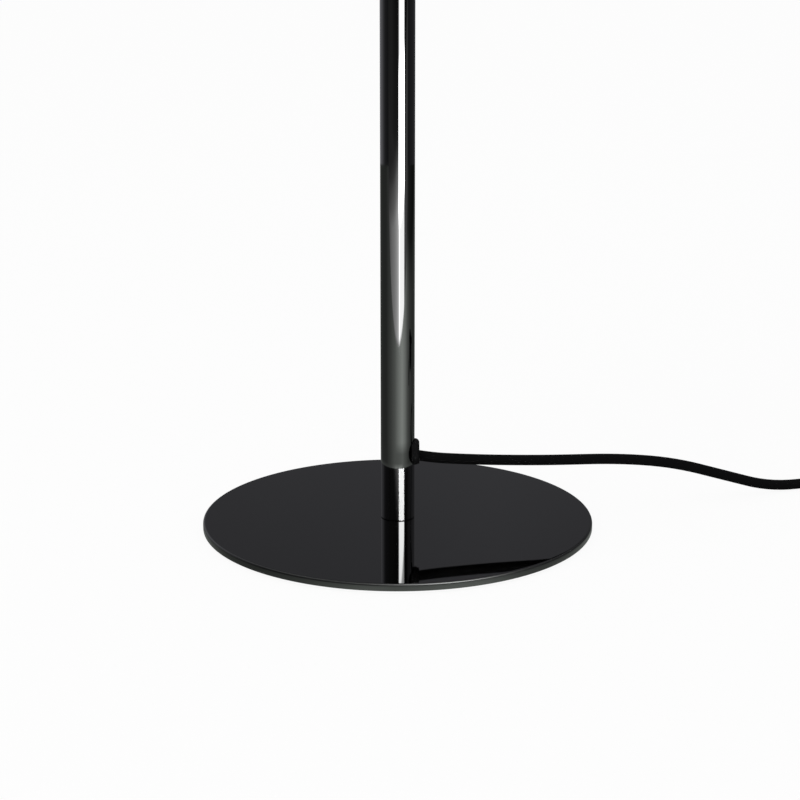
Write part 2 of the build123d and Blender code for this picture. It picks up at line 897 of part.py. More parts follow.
def make_switch_leads():
    """Ends of the cord inside the switch: two sheath ends, two cut cores and one core right through."""
    leads = Part()
    inside = switch_length / 2 - sheath_stub
    beside = core_spread / 2
    core_low = switch_wall + contact_plate + core_radius + press_gap
    face = block_x + block_size / 2 + press_gap
    bypass = boss_diameter / 2 + core_diameter
    bend_x = boss_x + core_diameter
    for side in (-1, 1):
        leads += peg(cord_radius, (side * inside, 0, switch_parting), (side, 0, 0), sheath_stub)
        corners = [
            (side * (inside - press_gap), -beside, switch_parting),
            (side * (inside - core_diameter), -beside, switch_parting),
            (side * bend_x, -bypass, switch_parting - core_diameter),
            (side * (face + 2), block_y, core_low),
            (side * face, block_y, core_low),
        ]
        leads += swept(core_radius, FilletPolyline(*corners, radius=core_radius))
    through = [
        (-inside + press_gap, beside, switch_parting),
        (-inside + core_diameter, beside, switch_parting),
        (-bend_x, bypass, switch_parting - core_diameter),
        (-block_x, -block_y + core_diameter / 2, core_low),
        (block_x, -block_y + core_diameter / 2, core_low),
        (bend_x, bypass, switch_parting - core_diameter),
        (inside - core_diameter, beside, switch_parting),
        (inside - press_gap, beside, switch_parting),
    ]
    return leads + swept(core_radius, FilletPolyline(*through, radius=core_radius))


# Coil of cord, its tie and the plug
def coil_node(step):
    """Where the coil stands after a count of half turns: spiral in, climb, spiral out."""
    steps_in = 2 * coil_turns_in
    climbed = step > steps_in
    steps_from_middle = step - steps_in - 1 if climbed else steps_in - step
    radius = coil_inner_radius + steps_from_middle * coil_pitch / 2
    if steps_from_middle == 0:
        radius -= coil_climb_inset
    side = 1 if step % 2 == 0 else -1
    return Vector(coil_x + side * radius, coil_y, coil_high if climbed else coil_low)


def make_coil():
    half_turns = 2 * coil_turns_in + 1 + coil_half_turns_out
    straight = Vector(0, cord_diameter, 0)
    first = coil_node(0)
    last = coil_node(half_turns)
    edges = [Edge.make_line(first + straight, first)]
    for step in range(half_turns):
        heading = Vector(0, -1 if step % 2 == 0 else 1, 0)
        edges += half_turn(coil_node(step), heading, coil_node(step + 1))
    edges.append(Edge.make_line(last, last - straight))
    path = Wire(edges)
    print("cord_coil length", round(path.length, 1), "gap to itself", round(least_gap(edges), 2))
    return swept(cord_radius, path)


def least_gap(edges):
    """Least clear distance between stretches of the coil, on points about 3 mm apart."""
    spacing = 3.0
    points = []
    for edge in edges:
        count = max(1, round(edge.length / spacing))
        points += [edge @ (index / count) for index in range(count)]
    apart = round(3 * cord_diameter / spacing)
    least = min(
        (points[index] - points[other]).length
        for index in range(len(points))
        for other in range(index + apart, len(points))
    )
    return least - cord_diameter


def make_coil_tie():
    """Band drawn tight round all the turns on the coil's left side."""
    inner_low = coil_x - coil_inner_radius - coil_pitch / 2 + tie_ease
    inner_high = coil_x - coil_inner_radius + coil_climb_inset + tie_ease
    outer_high = coil_x - coil_end_radius + coil_pitch / 2
    outer_low = coil_x - coil_outer_radius + coil_pitch / 2
    corners = [
        (inner_low, coil_low),
        (inner_high, coil_high),
        (outer_high, coil_high),
        (outer_low, coil_low),
    ]
    core = make_face(Polyline(*corners, close=True))
    inside = cord_radius + thread_gap
    band = offset(core, inside + tie_thickness) - offset(core, inside)
    across = Plane(origin=(0, coil_y, 0), x_dir=(1, 0, 0), z_dir=(0, -1, 0))
    return extrude(across * band, tie_width / 2, both=True)


def plug_section(distance, width, height, corner):
    """Rounded section of the plug at a distance behind its face."""
    plane = Plane(origin=(distance, 0, 0), x_dir=(0, 1, 0), z_dir=(1, 0, 0))
    return plane * RectangleRounded(width, height, corner)


def make_plug_body():
    face = plug_section(0, plug_width, plug_height, plug_corner)
    body = extrude(face, plug_straight)
    waist = plug_section(plug_straight, plug_width, plug_height, plug_corner)
    neck = plug_section(plug_length, plug_neck_width, plug_neck_height, plug_neck_height / 2 - press_gap)
    body += loft([waist, neck])
    body += relief()
    for side in (-1, 1):
        middle = side * pin_spacing / 2
        body += peg(sleeve_diameter / 2, (0, middle, 0), (-1, 0, 0), sleeve_length)
        start = (-sleeve_length, middle, 0)
        depth = sleeve_length + pin_core_depth
        body -= peg(pin_core_diameter / 2 + press_gap, start, (1, 0, 0), depth)
    return at_plug(body)


def relief():
    """Ribbed taper that guides the cord out of the plug."""
    start = plug_neck_height / 2 - relief_groove / 2
    end = relief_end_diameter / 2
    step = relief_length / relief_ribs
    outline = [(0, 0)]
    for rib in range(relief_ribs):
        wide = start + (end - start) * rib / (relief_ribs - 1)
        low = rib * step
        outline += [(wide - relief_groove, low), (wide - relief_groove, low + step / 2)]
        outline += [(wide, low + step / 2), (wide, low + step)]
    outline.append((0, relief_length))
    return Pos(plug_length, 0, 0) * Rot(0, 90, 0) * lathe(outline)


def at_plug(shape):
    return Pos(plug_face_x, plug_y, plug_middle) * shape


def make_plug_pins():
    pins = Part()
    for side in (-1, 1):
        middle = side * pin_spacing / 2
        bare_length = pin_length - sleeve_length - press_gap
        bare = peg(pin_diameter / 2, (-pin_length, middle, 0), (1, 0, 0), bare_length)
        bare = fillet(bare.edges().sort_by(Axis.X)[0], pin_edge)
        core_length = sleeve_length + pin_core_depth + press_gap
        pins += bare + peg(pin_core_diameter / 2, (pin_core_depth, middle, 0), (-1, 0, 0), core_length)
    return at_plug(pins)


def at_switch(shape):
    return Pos(switch_x, switch_y, 0) * shape


save("base_plate", make_base_plate())
save("base_pad", make_base_pad())
save("foot_screw", make_foot_screw())
save("foot_pin", foot_pin_body(0))
save("foot_insert", make_foot_insert())
save("stem_tube", make_stem())
save("cord_bushing", make_bushing())
save("stem_cord", make_stem_cord())
save("live_core", make_core(1))
save("neutral_core", make_core(-1))
save("top_insert", make_top_insert())
save("threaded_nipple", make_nipple())
save("holder_cap", make_holder_cap())
save("holder_grub_screw", make_grub_screw())
save("holder_skirt", make_holder_skirt())
save("holder_insulator", make_holder_insulator())
save("holder_terminals", terminals(0))
save("centre_contact", make_contact_leaf())
save("thread_shell", make_thread_shell())
save("bulb_tip", make_bulb_tip())
save("bulb_insulator", make_bulb_insulator())
save("bulb_cap", make_bulb_cap())
save("bulb_housing", make_bulb_housing())
save("bulb_globe", make_bulb_globe())
save("shade_cloth", shade_wall(0, shade_cloth))
save("shade_lining", shade_wall(lining_outer, lining_inner))
save("shade_lower_trim", make_trim(0, 1))
save("shade_upper_trim", make_trim(shade_height, -1))
save("shade_lower_ring", make_wire_ring(wire_radius))
save("shade_upper_ring", make_wire_ring(shade_height - wire_radius))
save("shade_hub", make_hub())
save("shade_arms", make_arms())
save("lower_grip_ring", make_grip_ring(hub_bottom, -1))
save("upper_grip_ring", make_grip_ring(hub_top, 1))
save("switch_lower_shell", at_switch(make_switch_lower()))
save("switch_upper_shell", at_switch(make_switch_upper()))
save("switch_screws", at_switch(at_bosses(shell_screw(0))))
save("switch_rocker", at_switch(make_rocker()))
save("rocker_plunger", at_switch(make_plunger()))
save("plunger_spring", at_switch(make_spring()))
save("seesaw_contact", at_switch(make_seesaw()))
save("fulcrum_contact", at_switch(make_fulcrum_contact()))
save("fixed_contact", at_switch(make_fixed_contact()))
save("switch_terminal_screws", at_switch(make_terminal_screws()))
save("switch_leads", at_switch(make_switch_leads()))
save("lamp_cord", swept(cord_radius, rounded_route("lamp_cord", lamp_cord_route)))
save("coil_lead", swept(cord_radius, rounded_route("coil_lead", coil_lead_route)))
save("cord_coil", make_coil())
save("coil_tie", make_coil_tie())
save("plug_tail", swept(cord_radius, rounded_route("plug_tail", plug_tail_route)))
save("plug_body", make_plug_body())
save("plug_pins", make_plug_pins())
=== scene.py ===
# %% [markdown]
# # A bedside lamp on a mirror-black base
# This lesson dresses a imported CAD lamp: a thin round plate, a straight tube, a cord out of the
# tube's side, and a fabric shade on a wire frame. The CAD solids are the frame and stay where
# they are. Blender adds the finishes, the soft pieces, the light and the camera.

# %% Load the frame
import math

import bmesh
import bpy
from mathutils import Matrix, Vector


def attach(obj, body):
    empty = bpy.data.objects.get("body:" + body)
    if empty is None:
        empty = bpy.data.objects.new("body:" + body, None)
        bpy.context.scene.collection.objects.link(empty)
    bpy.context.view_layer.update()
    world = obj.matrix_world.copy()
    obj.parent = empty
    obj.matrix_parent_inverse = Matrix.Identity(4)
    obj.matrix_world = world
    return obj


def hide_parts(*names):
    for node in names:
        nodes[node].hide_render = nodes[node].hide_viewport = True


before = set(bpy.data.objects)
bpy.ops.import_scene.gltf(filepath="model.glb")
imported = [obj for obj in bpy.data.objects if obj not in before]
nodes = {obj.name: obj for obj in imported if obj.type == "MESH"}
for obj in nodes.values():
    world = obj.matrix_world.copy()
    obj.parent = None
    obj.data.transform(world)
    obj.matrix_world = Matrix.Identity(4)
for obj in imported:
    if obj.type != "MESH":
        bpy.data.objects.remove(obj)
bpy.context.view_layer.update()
LAMP = "lamp"
MM = 0.001

# %% [markdown]
# The camera comes first, because everything else is judged through it. A product photograph of
# a lamp's foot is taken from a little above, with a long lens, so the stem's sides stay almost
# parallel. The place and the lens below were fitted to the plate's outline and the stem's sides.

# %% Camera
CAMERA_PLACE = (0.00132, -1.12013, 0.38472)
CAMERA_TILT = math.radians(74.487)
CAMERA_LENS = 93.63
SENSOR = 36.0

scene = bpy.context.scene
lens = bpy.data.cameras.new("photo_camera")
lens.lens = CAMERA_LENS
lens.sensor_width = SENSOR
lens.dof.use_dof = False
camera = bpy.data.objects.new("photo_camera", lens)
camera.location = CAMERA_PLACE
camera.rotation_euler = (CAMERA_TILT, 0.0, 0.0)
scene.collection.objects.link(camera)
scene.camera = camera
scene.view_settings.view_transform = "Standard"
print("camera at", CAMERA_PLACE)

# %% [markdown]
# Materials are made of a few shared steps. A helper gives a Principled shader, and others add
# what real surfaces have: a roughness or a colour that wanders a little, and a fine bump. A
# picture of the surface would also do, but noise needs no file, and on Object coordinates it
# keeps its real size on every piece.

# %% Helpers for finishes
NOISE_DETAIL = 3.0
NOISE_LOW, NOISE_HIGH = 0.3, 0.7


def new_finish(name, colour, roughness, metallic=0.0):
    """A Principled material with its plain values set on the shader's own sockets."""
    material = bpy.data.materials.new(name)
    material.use_nodes = True
    shader = material.node_tree.nodes["Principled BSDF"]
    shader.inputs["Base Color"].default_value = (*colour, 1.0)
    shader.inputs["Metallic"].default_value = metallic
    shader.inputs["Roughness"].default_value = roughness
    return material, shader


def add_node(material, kind, **values):
    """A new node with its properties set."""
    node = material.node_tree.nodes.new(kind)
    for key, value in values.items():
        setattr(node, key, value)
    return node


def join(material, source, target):
    """A wire from one socket to another."""
    material.node_tree.links.new(source, target)


def noise_on_object(material, scale):
    """Noise at a scale counted per metre on the piece itself."""
    place = add_node(material, "ShaderNodeTexCoord")
    noise = add_node(material, "ShaderNodeTexNoise")
    noise.inputs["Scale"].default_value = scale
    noise.inputs["Detail"].default_value = NOISE_DETAIL
    join(material, place.outputs["Object"], noise.inputs["Vector"])
    return noise.outputs["Fac"]


def part_way(material, value, start, end, low=0.0, high=1.0):
    """A value that goes from low to high while another goes from start to end."""
    spread = add_node(material, "ShaderNodeMapRange")
    spread.inputs["From Min"].default_value = start
    spread.inputs["From Max"].default_value = end
    spread.inputs["To Min"].default_value = low
    spread.inputs["To Max"].default_value = high
    join(material, value, spread.inputs["Value"])
    return spread.outputs["Result"]


def two_tones(material, share, first, second):
    """The first fixed colour where the share is 0, and the second where it is 1."""
    mix = add_node(material, "ShaderNodeMix", data_type="RGBA")
    mix.inputs["A"].default_value = (*first, 1.0)
    mix.inputs["B"].default_value = (*second, 1.0)
    join(material, share, mix.inputs["Factor"])
    return mix.outputs["Result"]


def wander_roughness(material, shader, scale, low, high):
    """Roughness that moves between two values across the surface."""
    noise = noise_on_object(material, scale)
    rough = part_way(material, noise, NOISE_LOW, NOISE_HIGH, low, high)
    join(material, rough, shader.inputs["Roughness"])


def wander_colour(material, shader, scale, first, second):
    """Colour that drifts between two near tones."""
    tone = two_tones(material, noise_on_object(material, scale), first, second)
    join(material, tone, shader.inputs["Base Color"])


def add_bump(material, shader, height, distance, strength=1.0):
    """Bump from a height between 0 and 1, with the depth given in metres."""
    bump = add_node(material, "ShaderNodeBump")
    bump.inputs["Strength"].default_value = strength
    bump.inputs["Distance"].default_value = distance
    join(material, height, bump.inputs["Height"])
    join(material, bump.outputs["Normal"], shader.inputs["Normal"])


print("finish helpers ready")

# %% [markdown]
# The plate and the stem are steel with a polished black chrome layer. It is a mirror that gives
# back only about a ninth of the light, so white looks grey in it and grey looks black. A dark
# metallic colour with very low roughness does exactly that. The stem's roughness wanders a
# little, as wiping leaves it. The plate's rim is only ground before plating, so it is duller and
# less smooth than the faces, and its distance from the middle tells where it starts.

# %% Black chrome
CHROME = (0.115, 0.1155, 0.1155)
MIRROR_ROUGHNESS = 0.03
WIPING_SCALE = 35.0
WIPED_LOW, WIPED_HIGH = 0.02, 0.04
RIM_CHROME = (0.05, 0.051, 0.05)
RIM_ROUGHNESS = 0.3
RIM_START, RIM_FULL = 0.1087, 0.1092


def black_chrome():
    material, shader = new_finish("black_chrome", CHROME, MIRROR_ROUGHNESS, metallic=1.0)
    wander_roughness(material, shader, WIPING_SCALE, WIPED_LOW, WIPED_HIGH)
    return material


def plate_chrome():
    material, shader = new_finish("plate_chrome", CHROME, MIRROR_ROUGHNESS, metallic=1.0)
    place = add_node(material, "ShaderNodeTexCoord")
    flat = add_node(material, "ShaderNodeMapping")
    flat.inputs["Scale"].default_value = (1.0, 1.0, 0.0)
    distance = add_node(material, "ShaderNodeVectorMath", operation="LENGTH")
    join(material, place.outputs["Object"], flat.inputs["Vector"])
    join(material, flat.outputs["Vector"], distance.inputs[0])
    rim = part_way(material, distance.outputs["Value"], RIM_START, RIM_FULL)
    rough = part_way(material, rim, 0.0, 1.0, MIRROR_ROUGHNESS, RIM_ROUGHNESS)
    join(material, rough, shader.inputs["Roughness"])
    join(material, two_tones(material, rim, CHROME, RIM_CHROME), shader.inputs["Base Color"])
    return material


BLACK_CHROME = black_chrome()
PLATE_CHROME = plate_chrome()
print("made", BLACK_CHROME.name, "and", PLATE_CHROME.name)

# %% [markdown]
# The black parts are three different materials: the matt cord sheath, the satin moulded plastic
# of bushing, switch, plug and holder, and the rubber pad. One black would do for all three, but
# side by side they catch the light differently, so each has its own roughness and grain.

# %% Black plastics and rubber
MOULD_SCALE, GRAIN_SCALE = 220.0, 4200.0
MOULD_GRAIN, FINE_GRAIN = 0.00003, 0.00002
MOULD_GLOSS = 0.4


def cord_sheath():
    material, shader = new_finish("cord_sheath", (0.0056, 0.0056, 0.0059), roughness=0.6)
    shader.inputs["Specular IOR Level"].default_value = 0.015
    wander_roughness(material, shader, scale=300.0, low=0.52, high=0.68)
    add_bump(material, shader, noise_on_object(material, scale=2500.0), distance=0.00004)
    return material


def moulded_plastic(name, colour, low, high, grain=MOULD_GRAIN, gloss=MOULD_GLOSS):
    """Plastic out of a mould, with a roughness between low and high."""
    material, shader = new_finish(name, colour, (low + high) / 2)
    shader.inputs["Specular IOR Level"].default_value = gloss
    wander_roughness(material, shader, MOULD_SCALE, low, high)
    add_bump(material, shader, noise_on_object(material, GRAIN_SCALE), grain)
    return material


def pad_rubber():
    darker, paler = (0.009, 0.009, 0.009), (0.018, 0.018, 0.018)
    material, shader = new_finish("pad_rubber", (0.012, 0.012, 0.012), roughness=0.85)
    wander_colour(material, shader, 400.0, darker, paler)
    add_bump(material, shader, noise_on_object(material, scale=1500.0), distance=0.0002)
    return material


CORD_SHEATH = cord_sheath()
BLACK_PLASTIC = moulded_plastic("black_plastic", (0.014, 0.014, 0.0145), 0.34, 0.46)
BUSHING_PLASTIC = moulded_plastic(
    "bushing_plastic", (0.0085, 0.0085, 0.0088), 0.34, 0.46, gloss=0.04
)
ROCKER_PLASTIC = moulded_plastic("rocker_plastic", (0.02, 0.02, 0.021), 0.24, 0.34, FINE_GRAIN)
WHITE_PLASTIC = moulded_plastic("white_plastic", (0.78, 0.78, 0.77), 0.35, 0.48)
NYLON = moulded_plastic("nylon", (0.72, 0.71, 0.66), 0.4, 0.55)
BROWN_INSULATION = moulded_plastic("brown_insulation", (0.12, 0.05, 0.02), 0.4, 0.5, FINE_GRAIN)
BLUE_INSULATION = moulded_plastic("blue_insulation", (0.02, 0.09, 0.32), 0.4, 0.5, FINE_GRAIN)
PAD_RUBBER = pad_rubber()
print("made the plastics and the rubber")

# %% [markdown]
# The small metal parts are zinc-plated steel, nickel-plated brass and bare brass. They differ
# only in colour and smoothness, so one helper makes all three. The shade's wire is steel under
# white enamel, which runs slightly thick and thin. The holder's insulator is a glazed ceramic,
# and the bulb has an opal diffuser.

# %% Small metals, enamel, ceramic and opal
PLATING_SCALE, PLATING_GRAIN_SCALE = 260.0, 1800.0
PLATING_GRAIN = 0.00001


def plated_metal(name, colour, low, high):
    """Metal with a roughness between low and high."""
    material, shader = new_finish(name, colour, (low + high) / 2, metallic=1.0)
    wander_roughness(material, shader, PLATING_SCALE, low, high)
    add_bump(material, shader, noise_on_object(material, PLATING_GRAIN_SCALE), PLATING_GRAIN)
    return material


def white_enamel():
    material, shader = new_finish("white_enamel", (0.82, 0.82, 0.8), roughness=0.3)
    shader.inputs["Coat Weight"].default_value = 0.3
    wander_colour(material, shader, 90.0, (0.8, 0.8, 0.775), (0.85, 0.85, 0.835))
    add_bump(material, shader, noise_on_object(material, scale=350.0), distance=0.00005)
    return material


def glazed_ceramic():
    material, shader = new_finish("glazed_ceramic", (0.8, 0.78, 0.73), roughness=0.18)
    wander_colour(material, shader, 120.0, (0.78, 0.76, 0.71), (0.84, 0.82, 0.78))
    return material


def opal_diffuser():
    material, shader = new_finish("opal_diffuser", (0.88, 0.87, 0.84), roughness=0.45)
    shader.inputs["Specular IOR Level"].default_value = 0.3
    wander_colour(material, shader, 40.0, (0.87, 0.86, 0.83), (0.89, 0.88, 0.85))
    return material


ZINC = plated_metal("zinc_plating", (0.6, 0.6, 0.61), 0.25, 0.4)
NICKEL = plated_metal("nickel_plating", (0.68, 0.66, 0.62), 0.12, 0.24)
BRASS = plated_metal("brass", (0.72, 0.53, 0.24), 0.2, 0.35)
WHITE_ENAMEL = white_enamel()
CERAMIC = glazed_ceramic()
OPAL = opal_diffuser()
print("made the metals, enamel, ceramic and opal")

# %% [markdown]
# A lampshade of this kind is linen glued on a white film. The cloth shows its weave, and here
# and there a thicker thread. Two wave textures cross on the cloth's own UV map, counted in
# metres, so the threads have their real width and follow the cloth, as they would not on Object
# coordinates. Stretched noise makes the thick threads.

# %% Linen and film
WAVE_PERIOD = math.pi / 10  # length of one wave at a scale of 1
LINEN_THREAD, TAPE_THREAD = 0.0009, 0.0006
THREAD_WOBBLE = 0.4
LINEN_SLUBS, TAPE_SLUBS = (0.5, 0.78), (0.58, 0.9)
SLUB_ACROSS, SLUB_ALONG = 700.0, 14.0
SLUB_DETAIL = 2.0
TAPE_SHIFT = (40.0, 70.0, 0.0)
CLOTH_ROUGHNESS = 0.9
SHEEN_WEIGHT, SHEEN_ROUGHNESS = 0.25, 0.5
WEAVE_DEPTH, WEAVE_STRENGTH = 0.00025, 0.7


def stretched_noise(material, place, scale_across, scale_along, shift):
    """Noise drawn out along one direction of the cloth, as an uneven thread is."""
    stretch = add_node(material, "ShaderNodeMapping")
    stretch.inputs["Location"].default_value = shift
    stretch.inputs["Scale"].default_value = (scale_across, scale_along, 1.0)
    noise = add_node(material, "ShaderNodeTexNoise")
    noise.inputs["Scale"].default_value = 1.0
    noise.inputs["Detail"].default_value = SLUB_DETAIL
    join(material, place, stretch.inputs["Vector"])
    join(material, stretch.outputs["Vector"], noise.inputs["Vector"])
    return noise.outputs["Fac"]


def threads(material, place, direction, width):
    """Round ridges of the threads that run one way."""
    wave = add_node(material, "ShaderNodeTexWave", bands_direction=direction)
    wave.inputs["Scale"].default_value = WAVE_PERIOD / width
    wave.inputs["Distortion"].default_value = THREAD_WOBBLE
    join(material, place, wave.inputs["Vector"])
    return wave.outputs["Fac"]


def combine(material, operation, first, second):
    """One math step on two sockets."""
    step = add_node(material, "ShaderNodeMath", operation=operation)
    join(material, first, step.inputs[0])
    join(material, second, step.inputs[1])
    return step.outputs["Value"]


def woven(name, light, dark, width, slub_range, shift=(0.0, 0.0, 0.0)):
    """Plain weave with thick and thin threads."""
    material, shader = new_finish(name, light, CLOTH_ROUGHNESS)
    shader.inputs["Sheen Weight"].default_value = SHEEN_WEIGHT
    shader.inputs["Sheen Roughness"].default_value = SHEEN_ROUGHNESS
    place = add_node(material, "ShaderNodeUVMap", uv_map="cloth").outputs["UV"]
    upright = threads(material, place, "X", width)
    weave = combine(material, "MAXIMUM", upright, threads(material, place, "Y", width))
    slub_up = stretched_noise(material, place, SLUB_ACROSS, SLUB_ALONG, shift)
    slub_round = stretched_noise(material, place, SLUB_ALONG, SLUB_ACROSS, shift)
    slubs = combine(material, "MAXIMUM", slub_up, slub_round)
    tone = two_tones(material, part_way(material, slubs, *slub_range), light, dark)
    join(material, tone, shader.inputs["Base Color"])
    relief = combine(material, "ADD", weave, slubs)
    add_bump(material, shader, relief, WEAVE_DEPTH, WEAVE_STRENGTH)
    return material


def white_film():
    material, shader = new_finish("white_film", (0.86, 0.86, 0.84), roughness=0.55)
    wander_colour(material, shader, 25.0, (0.85, 0.85, 0.825), (0.88, 0.88, 0.865))
    wander_roughness(material, shader, scale=60.0, low=0.5, high=0.62)
    return material


LINEN = woven("linen", (0.64, 0.58, 0.48), (0.52, 0.46, 0.375), LINEN_THREAD, LINEN_SLUBS)
LINEN_TAPE = woven(
    "linen_tape", (0.58, 0.52, 0.42), (0.5, 0.44, 0.35), TAPE_THREAD, TAPE_SLUBS, TAPE_SHIFT
)
WHITE_FILM = white_film()
print("made the linen and the film")

# %% [markdown]
# Every CAD node gets its finish here. The glTF import gives each node one material slot, and
# the finish goes straight into it.

# %% Finishes on the CAD nodes
FINISHES = {
    BLACK_CHROME: ["stem_tube", "top_insert"],
    PLATE_CHROME: ["base_plate"],
    PAD_RUBBER: ["base_pad"],
    BUSHING_PLASTIC: ["cord_bushing"],
    CORD_SHEATH: [
        "stem_cord", "lamp_cord", "coil_lead", "cord_coil", "plug_tail", "switch_leads",
    ],
    BLACK_PLASTIC: [
        "holder_cap", "holder_skirt", "lower_grip_ring", "upper_grip_ring", "bulb_insulator",
        "switch_lower_shell", "switch_upper_shell", "coil_tie", "plug_body",
    ],
    ROCKER_PLASTIC: ["switch_rocker"],
    BROWN_INSULATION: ["live_core"],
    BLUE_INSULATION: ["neutral_core"],
    CERAMIC: ["holder_insulator"],
    BRASS: [
        "holder_terminals", "centre_contact", "seesaw_contact", "fulcrum_contact",
        "fixed_contact",
    ],
    NICKEL: ["thread_shell", "bulb_tip", "bulb_cap", "plug_pins"],
    ZINC: [
        "foot_screw", "foot_pin", "foot_insert", "threaded_nipple", "holder_grub_screw",
        "switch_screws", "plunger_spring", "switch_terminal_screws",
    ],
    NYLON: ["rocker_plunger"],
    WHITE_PLASTIC: ["bulb_housing"],
    OPAL: ["bulb_globe"],
    LINEN: ["shade_cloth"],
    LINEN_TAPE: ["shade_lower_trim", "shade_upper_trim"],
    WHITE_FILM: ["shade_lining"],
    WHITE_ENAMEL: ["shade_lower_ring", "shade_upper_ring", "shade_hub", "shade_arms"],
}
for finish, names in FINISHES.items():
    for name in names:
        nodes[name].data.materials.clear()
        nodes[name].data.materials.append(finish)
print("finished", sum(len(names) for names in FINISHES.values()), "of", len(nodes), "nodes")

# %% [markdown]
# The cord is a fixed length of something flexible. From the bushing it leans out over the plate,
# sinks to the table and reaches the switch. A chain of straight pieces would show its corners. A
# NURBS curve of order 3 along the route's points is smooth and keeps the cord's length, and its
# bevel gives the round sheath.

# %% The cord from the lamp to the switch
CORD_RADIUS = 3.0 * MM
CORD_ORDER = 3
CORD_STEPS = 6
CORD_ROUNDNESS = 5
SWITCH_START = Vector((0.314, 0.082, 0.009))
SWITCH_END = Vector((0.380, 0.082, 0.009))

LAMP_CORD_ROUTE = [
    (0.0122, 0.0, 0.041468),
    (0.0202, 0.0, 0.040201),
    (0.034, 0.0011, 0.0391),
    (0.052, 0.0028, 0.038),
    (0.070, 0.0045, 0.0373),
    (0.090, 0.0067, 0.0367),
    (0.126, 0.0171, 0.0345),
    (0.160, 0.0314, 0.0276),
    (0.192, 0.0472, 0.0149),
    (0.222, 0.061, 0.0033),
    (0.254, 0.072, 0.003),
    (0.282, 0.080, 0.0037),
    (0.300, 0.082, 0.009),
    SWITCH_START,
]


def cord_curve(name, points):
    """One open NURBS line with a round section."""
    curve = bpy.data.curves.new(name, "CURVE")
    curve.dimensions = "3D"
    spline = curve.splines.new("NURBS")
    spline.points.add(len(points) - 1)
    for point, place in zip(spline.points, points):
        point.co = (*place, 1.0)
    spline.order_u = CORD_ORDER
    spline.use_endpoint_u = True
    spline.resolution_u = CORD_STEPS
    curve.bevel_depth = CORD_RADIUS
    curve.bevel_resolution = CORD_ROUNDNESS
    curve.use_fill_caps = True
    curve.materials.append(CORD_SHEATH)
    cord = bpy.data.objects.new(name, curve)
    scene.collection.objects.link(cord)
    return cord


lamp_flex = cord_curve("lamp_flex", LAMP_CORD_ROUTE)
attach(lamp_flex, LAMP)
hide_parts("lamp_cord")
print("lamp cord with", len(LAMP_CORD_ROUTE), "points")

# %% [markdown]
# Past the switch the cord is put away: three turns in on the table, a half turn that climbs, and
# turns out again on top, held by a tie. The coil is worked out by a loop of sixteen points a
# turn. A curve of order 3 runs a little inside its control points, so the radius is made larger
# by that share first.

# %% The coiled cord and the plug's tail
COIL_MIDDLE = Vector((0.391, 0.017, 0.0))
COIL_PITCH = 6.6 * MM
COIL_INNER = 24.0 * MM
COIL_LOW = 4.1 * MM
COIL_HIGH = COIL_LOW + COIL_PITCH
CLIMB_INSET = 1.2 * MM
TURN_POINTS = 16
TURNS_IN = 3
HALF_TURNS_OUT = 5
PLUG_BACK = (0.372, -0.053, 0.0068)
CORNER_X = 0.408
LEAD_STEPS, TAIL_STEPS = (0.040, 0.012), (-0.012, -0.037)


def coil_points():
    """Control points of the coil, clockwise from its right side, seen from above."""
    inside = (3 + math.cos(math.tau / TURN_POINTS)) / 4
    steps_in = TURNS_IN * TURN_POINTS
    climb = TURN_POINTS // 2
    steps_out = HALF_TURNS_OUT * TURN_POINTS // 2
    points = []
    for step in range(steps_in + climb + steps_out + 1):
        rise = min(max((step - steps_in) / climb, 0.0), 1.0)
        turns_from_middle = max(steps_in - step, step - steps_in - climb, 0) / TURN_POINTS
        radius = COIL_INNER + COIL_PITCH * turns_from_middle
        near_middle = max(0.0, 1.0 - 2 * turns_from_middle)
        radius = (radius - CLIMB_INSET * near_middle) / inside
        angle = -math.tau * step / TURN_POINTS
        eased = rise * rise * (3 - 2 * rise)
        x = COIL_MIDDLE.x + radius * math.cos(angle)
        y = COIL_MIDDLE.y + radius * math.sin(angle)
        points.append((x, y, COIL_LOW + (COIL_HIGH - COIL_LOW) * eased))
    return points


turns = coil_points()
first_x, last_x = turns[0][0], turns[-1][0]
lead = [SWITCH_END, (CORNER_X, SWITCH_END.y, SWITCH_END.z)]
lead += [(first_x, COIL_MIDDLE.y + step, COIL_LOW) for step in LEAD_STEPS]
tail = [(last_x, COIL_MIDDLE.y + step, COIL_HIGH) for step in TAIL_STEPS]
tail += [(CORNER_X, PLUG_BACK[1], PLUG_BACK[2]), PLUG_BACK]
coiled_flex = cord_curve("coiled_flex", lead + turns + tail)
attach(coiled_flex, LAMP)
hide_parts("coil_lead", "cord_coil", "plug_tail")
print("coiled cord with", len(lead + turns + tail), "points")

# %% [markdown]

# %% [markdown]
# Most hard pieces of a lamp are turned on a lathe, and Blender can do the same. One point is
# extruded along the outline beside the axis, step by step, and the line is spun round the axis.
# These helpers do that, pick faces by their place, round a rim with a bevel, and give a piece
# its finish and its body, and hide the CAD nodes that it replaces.

# %% Helpers for turned pieces
WELD = 0.001 * MM
SMOOTH_ANGLE = math.radians(35)
ON_EDGE = 0.01


def deselect():
    bpy.ops.object.select_all(action="DESELECT")


def pick(piece):
    """Selects one piece alone and makes it the active one."""
    deselect()
    piece.select_set(True)
    bpy.context.view_layer.objects.active = piece


def start_edit(kind, action):
    """Edit mode on vertices, edges or faces, with all or none of them selected."""
    bpy.ops.object.mode_set(mode="EDIT")
    bpy.ops.mesh.select_mode(type=kind)
    bpy.ops.mesh.select_all(action=action)


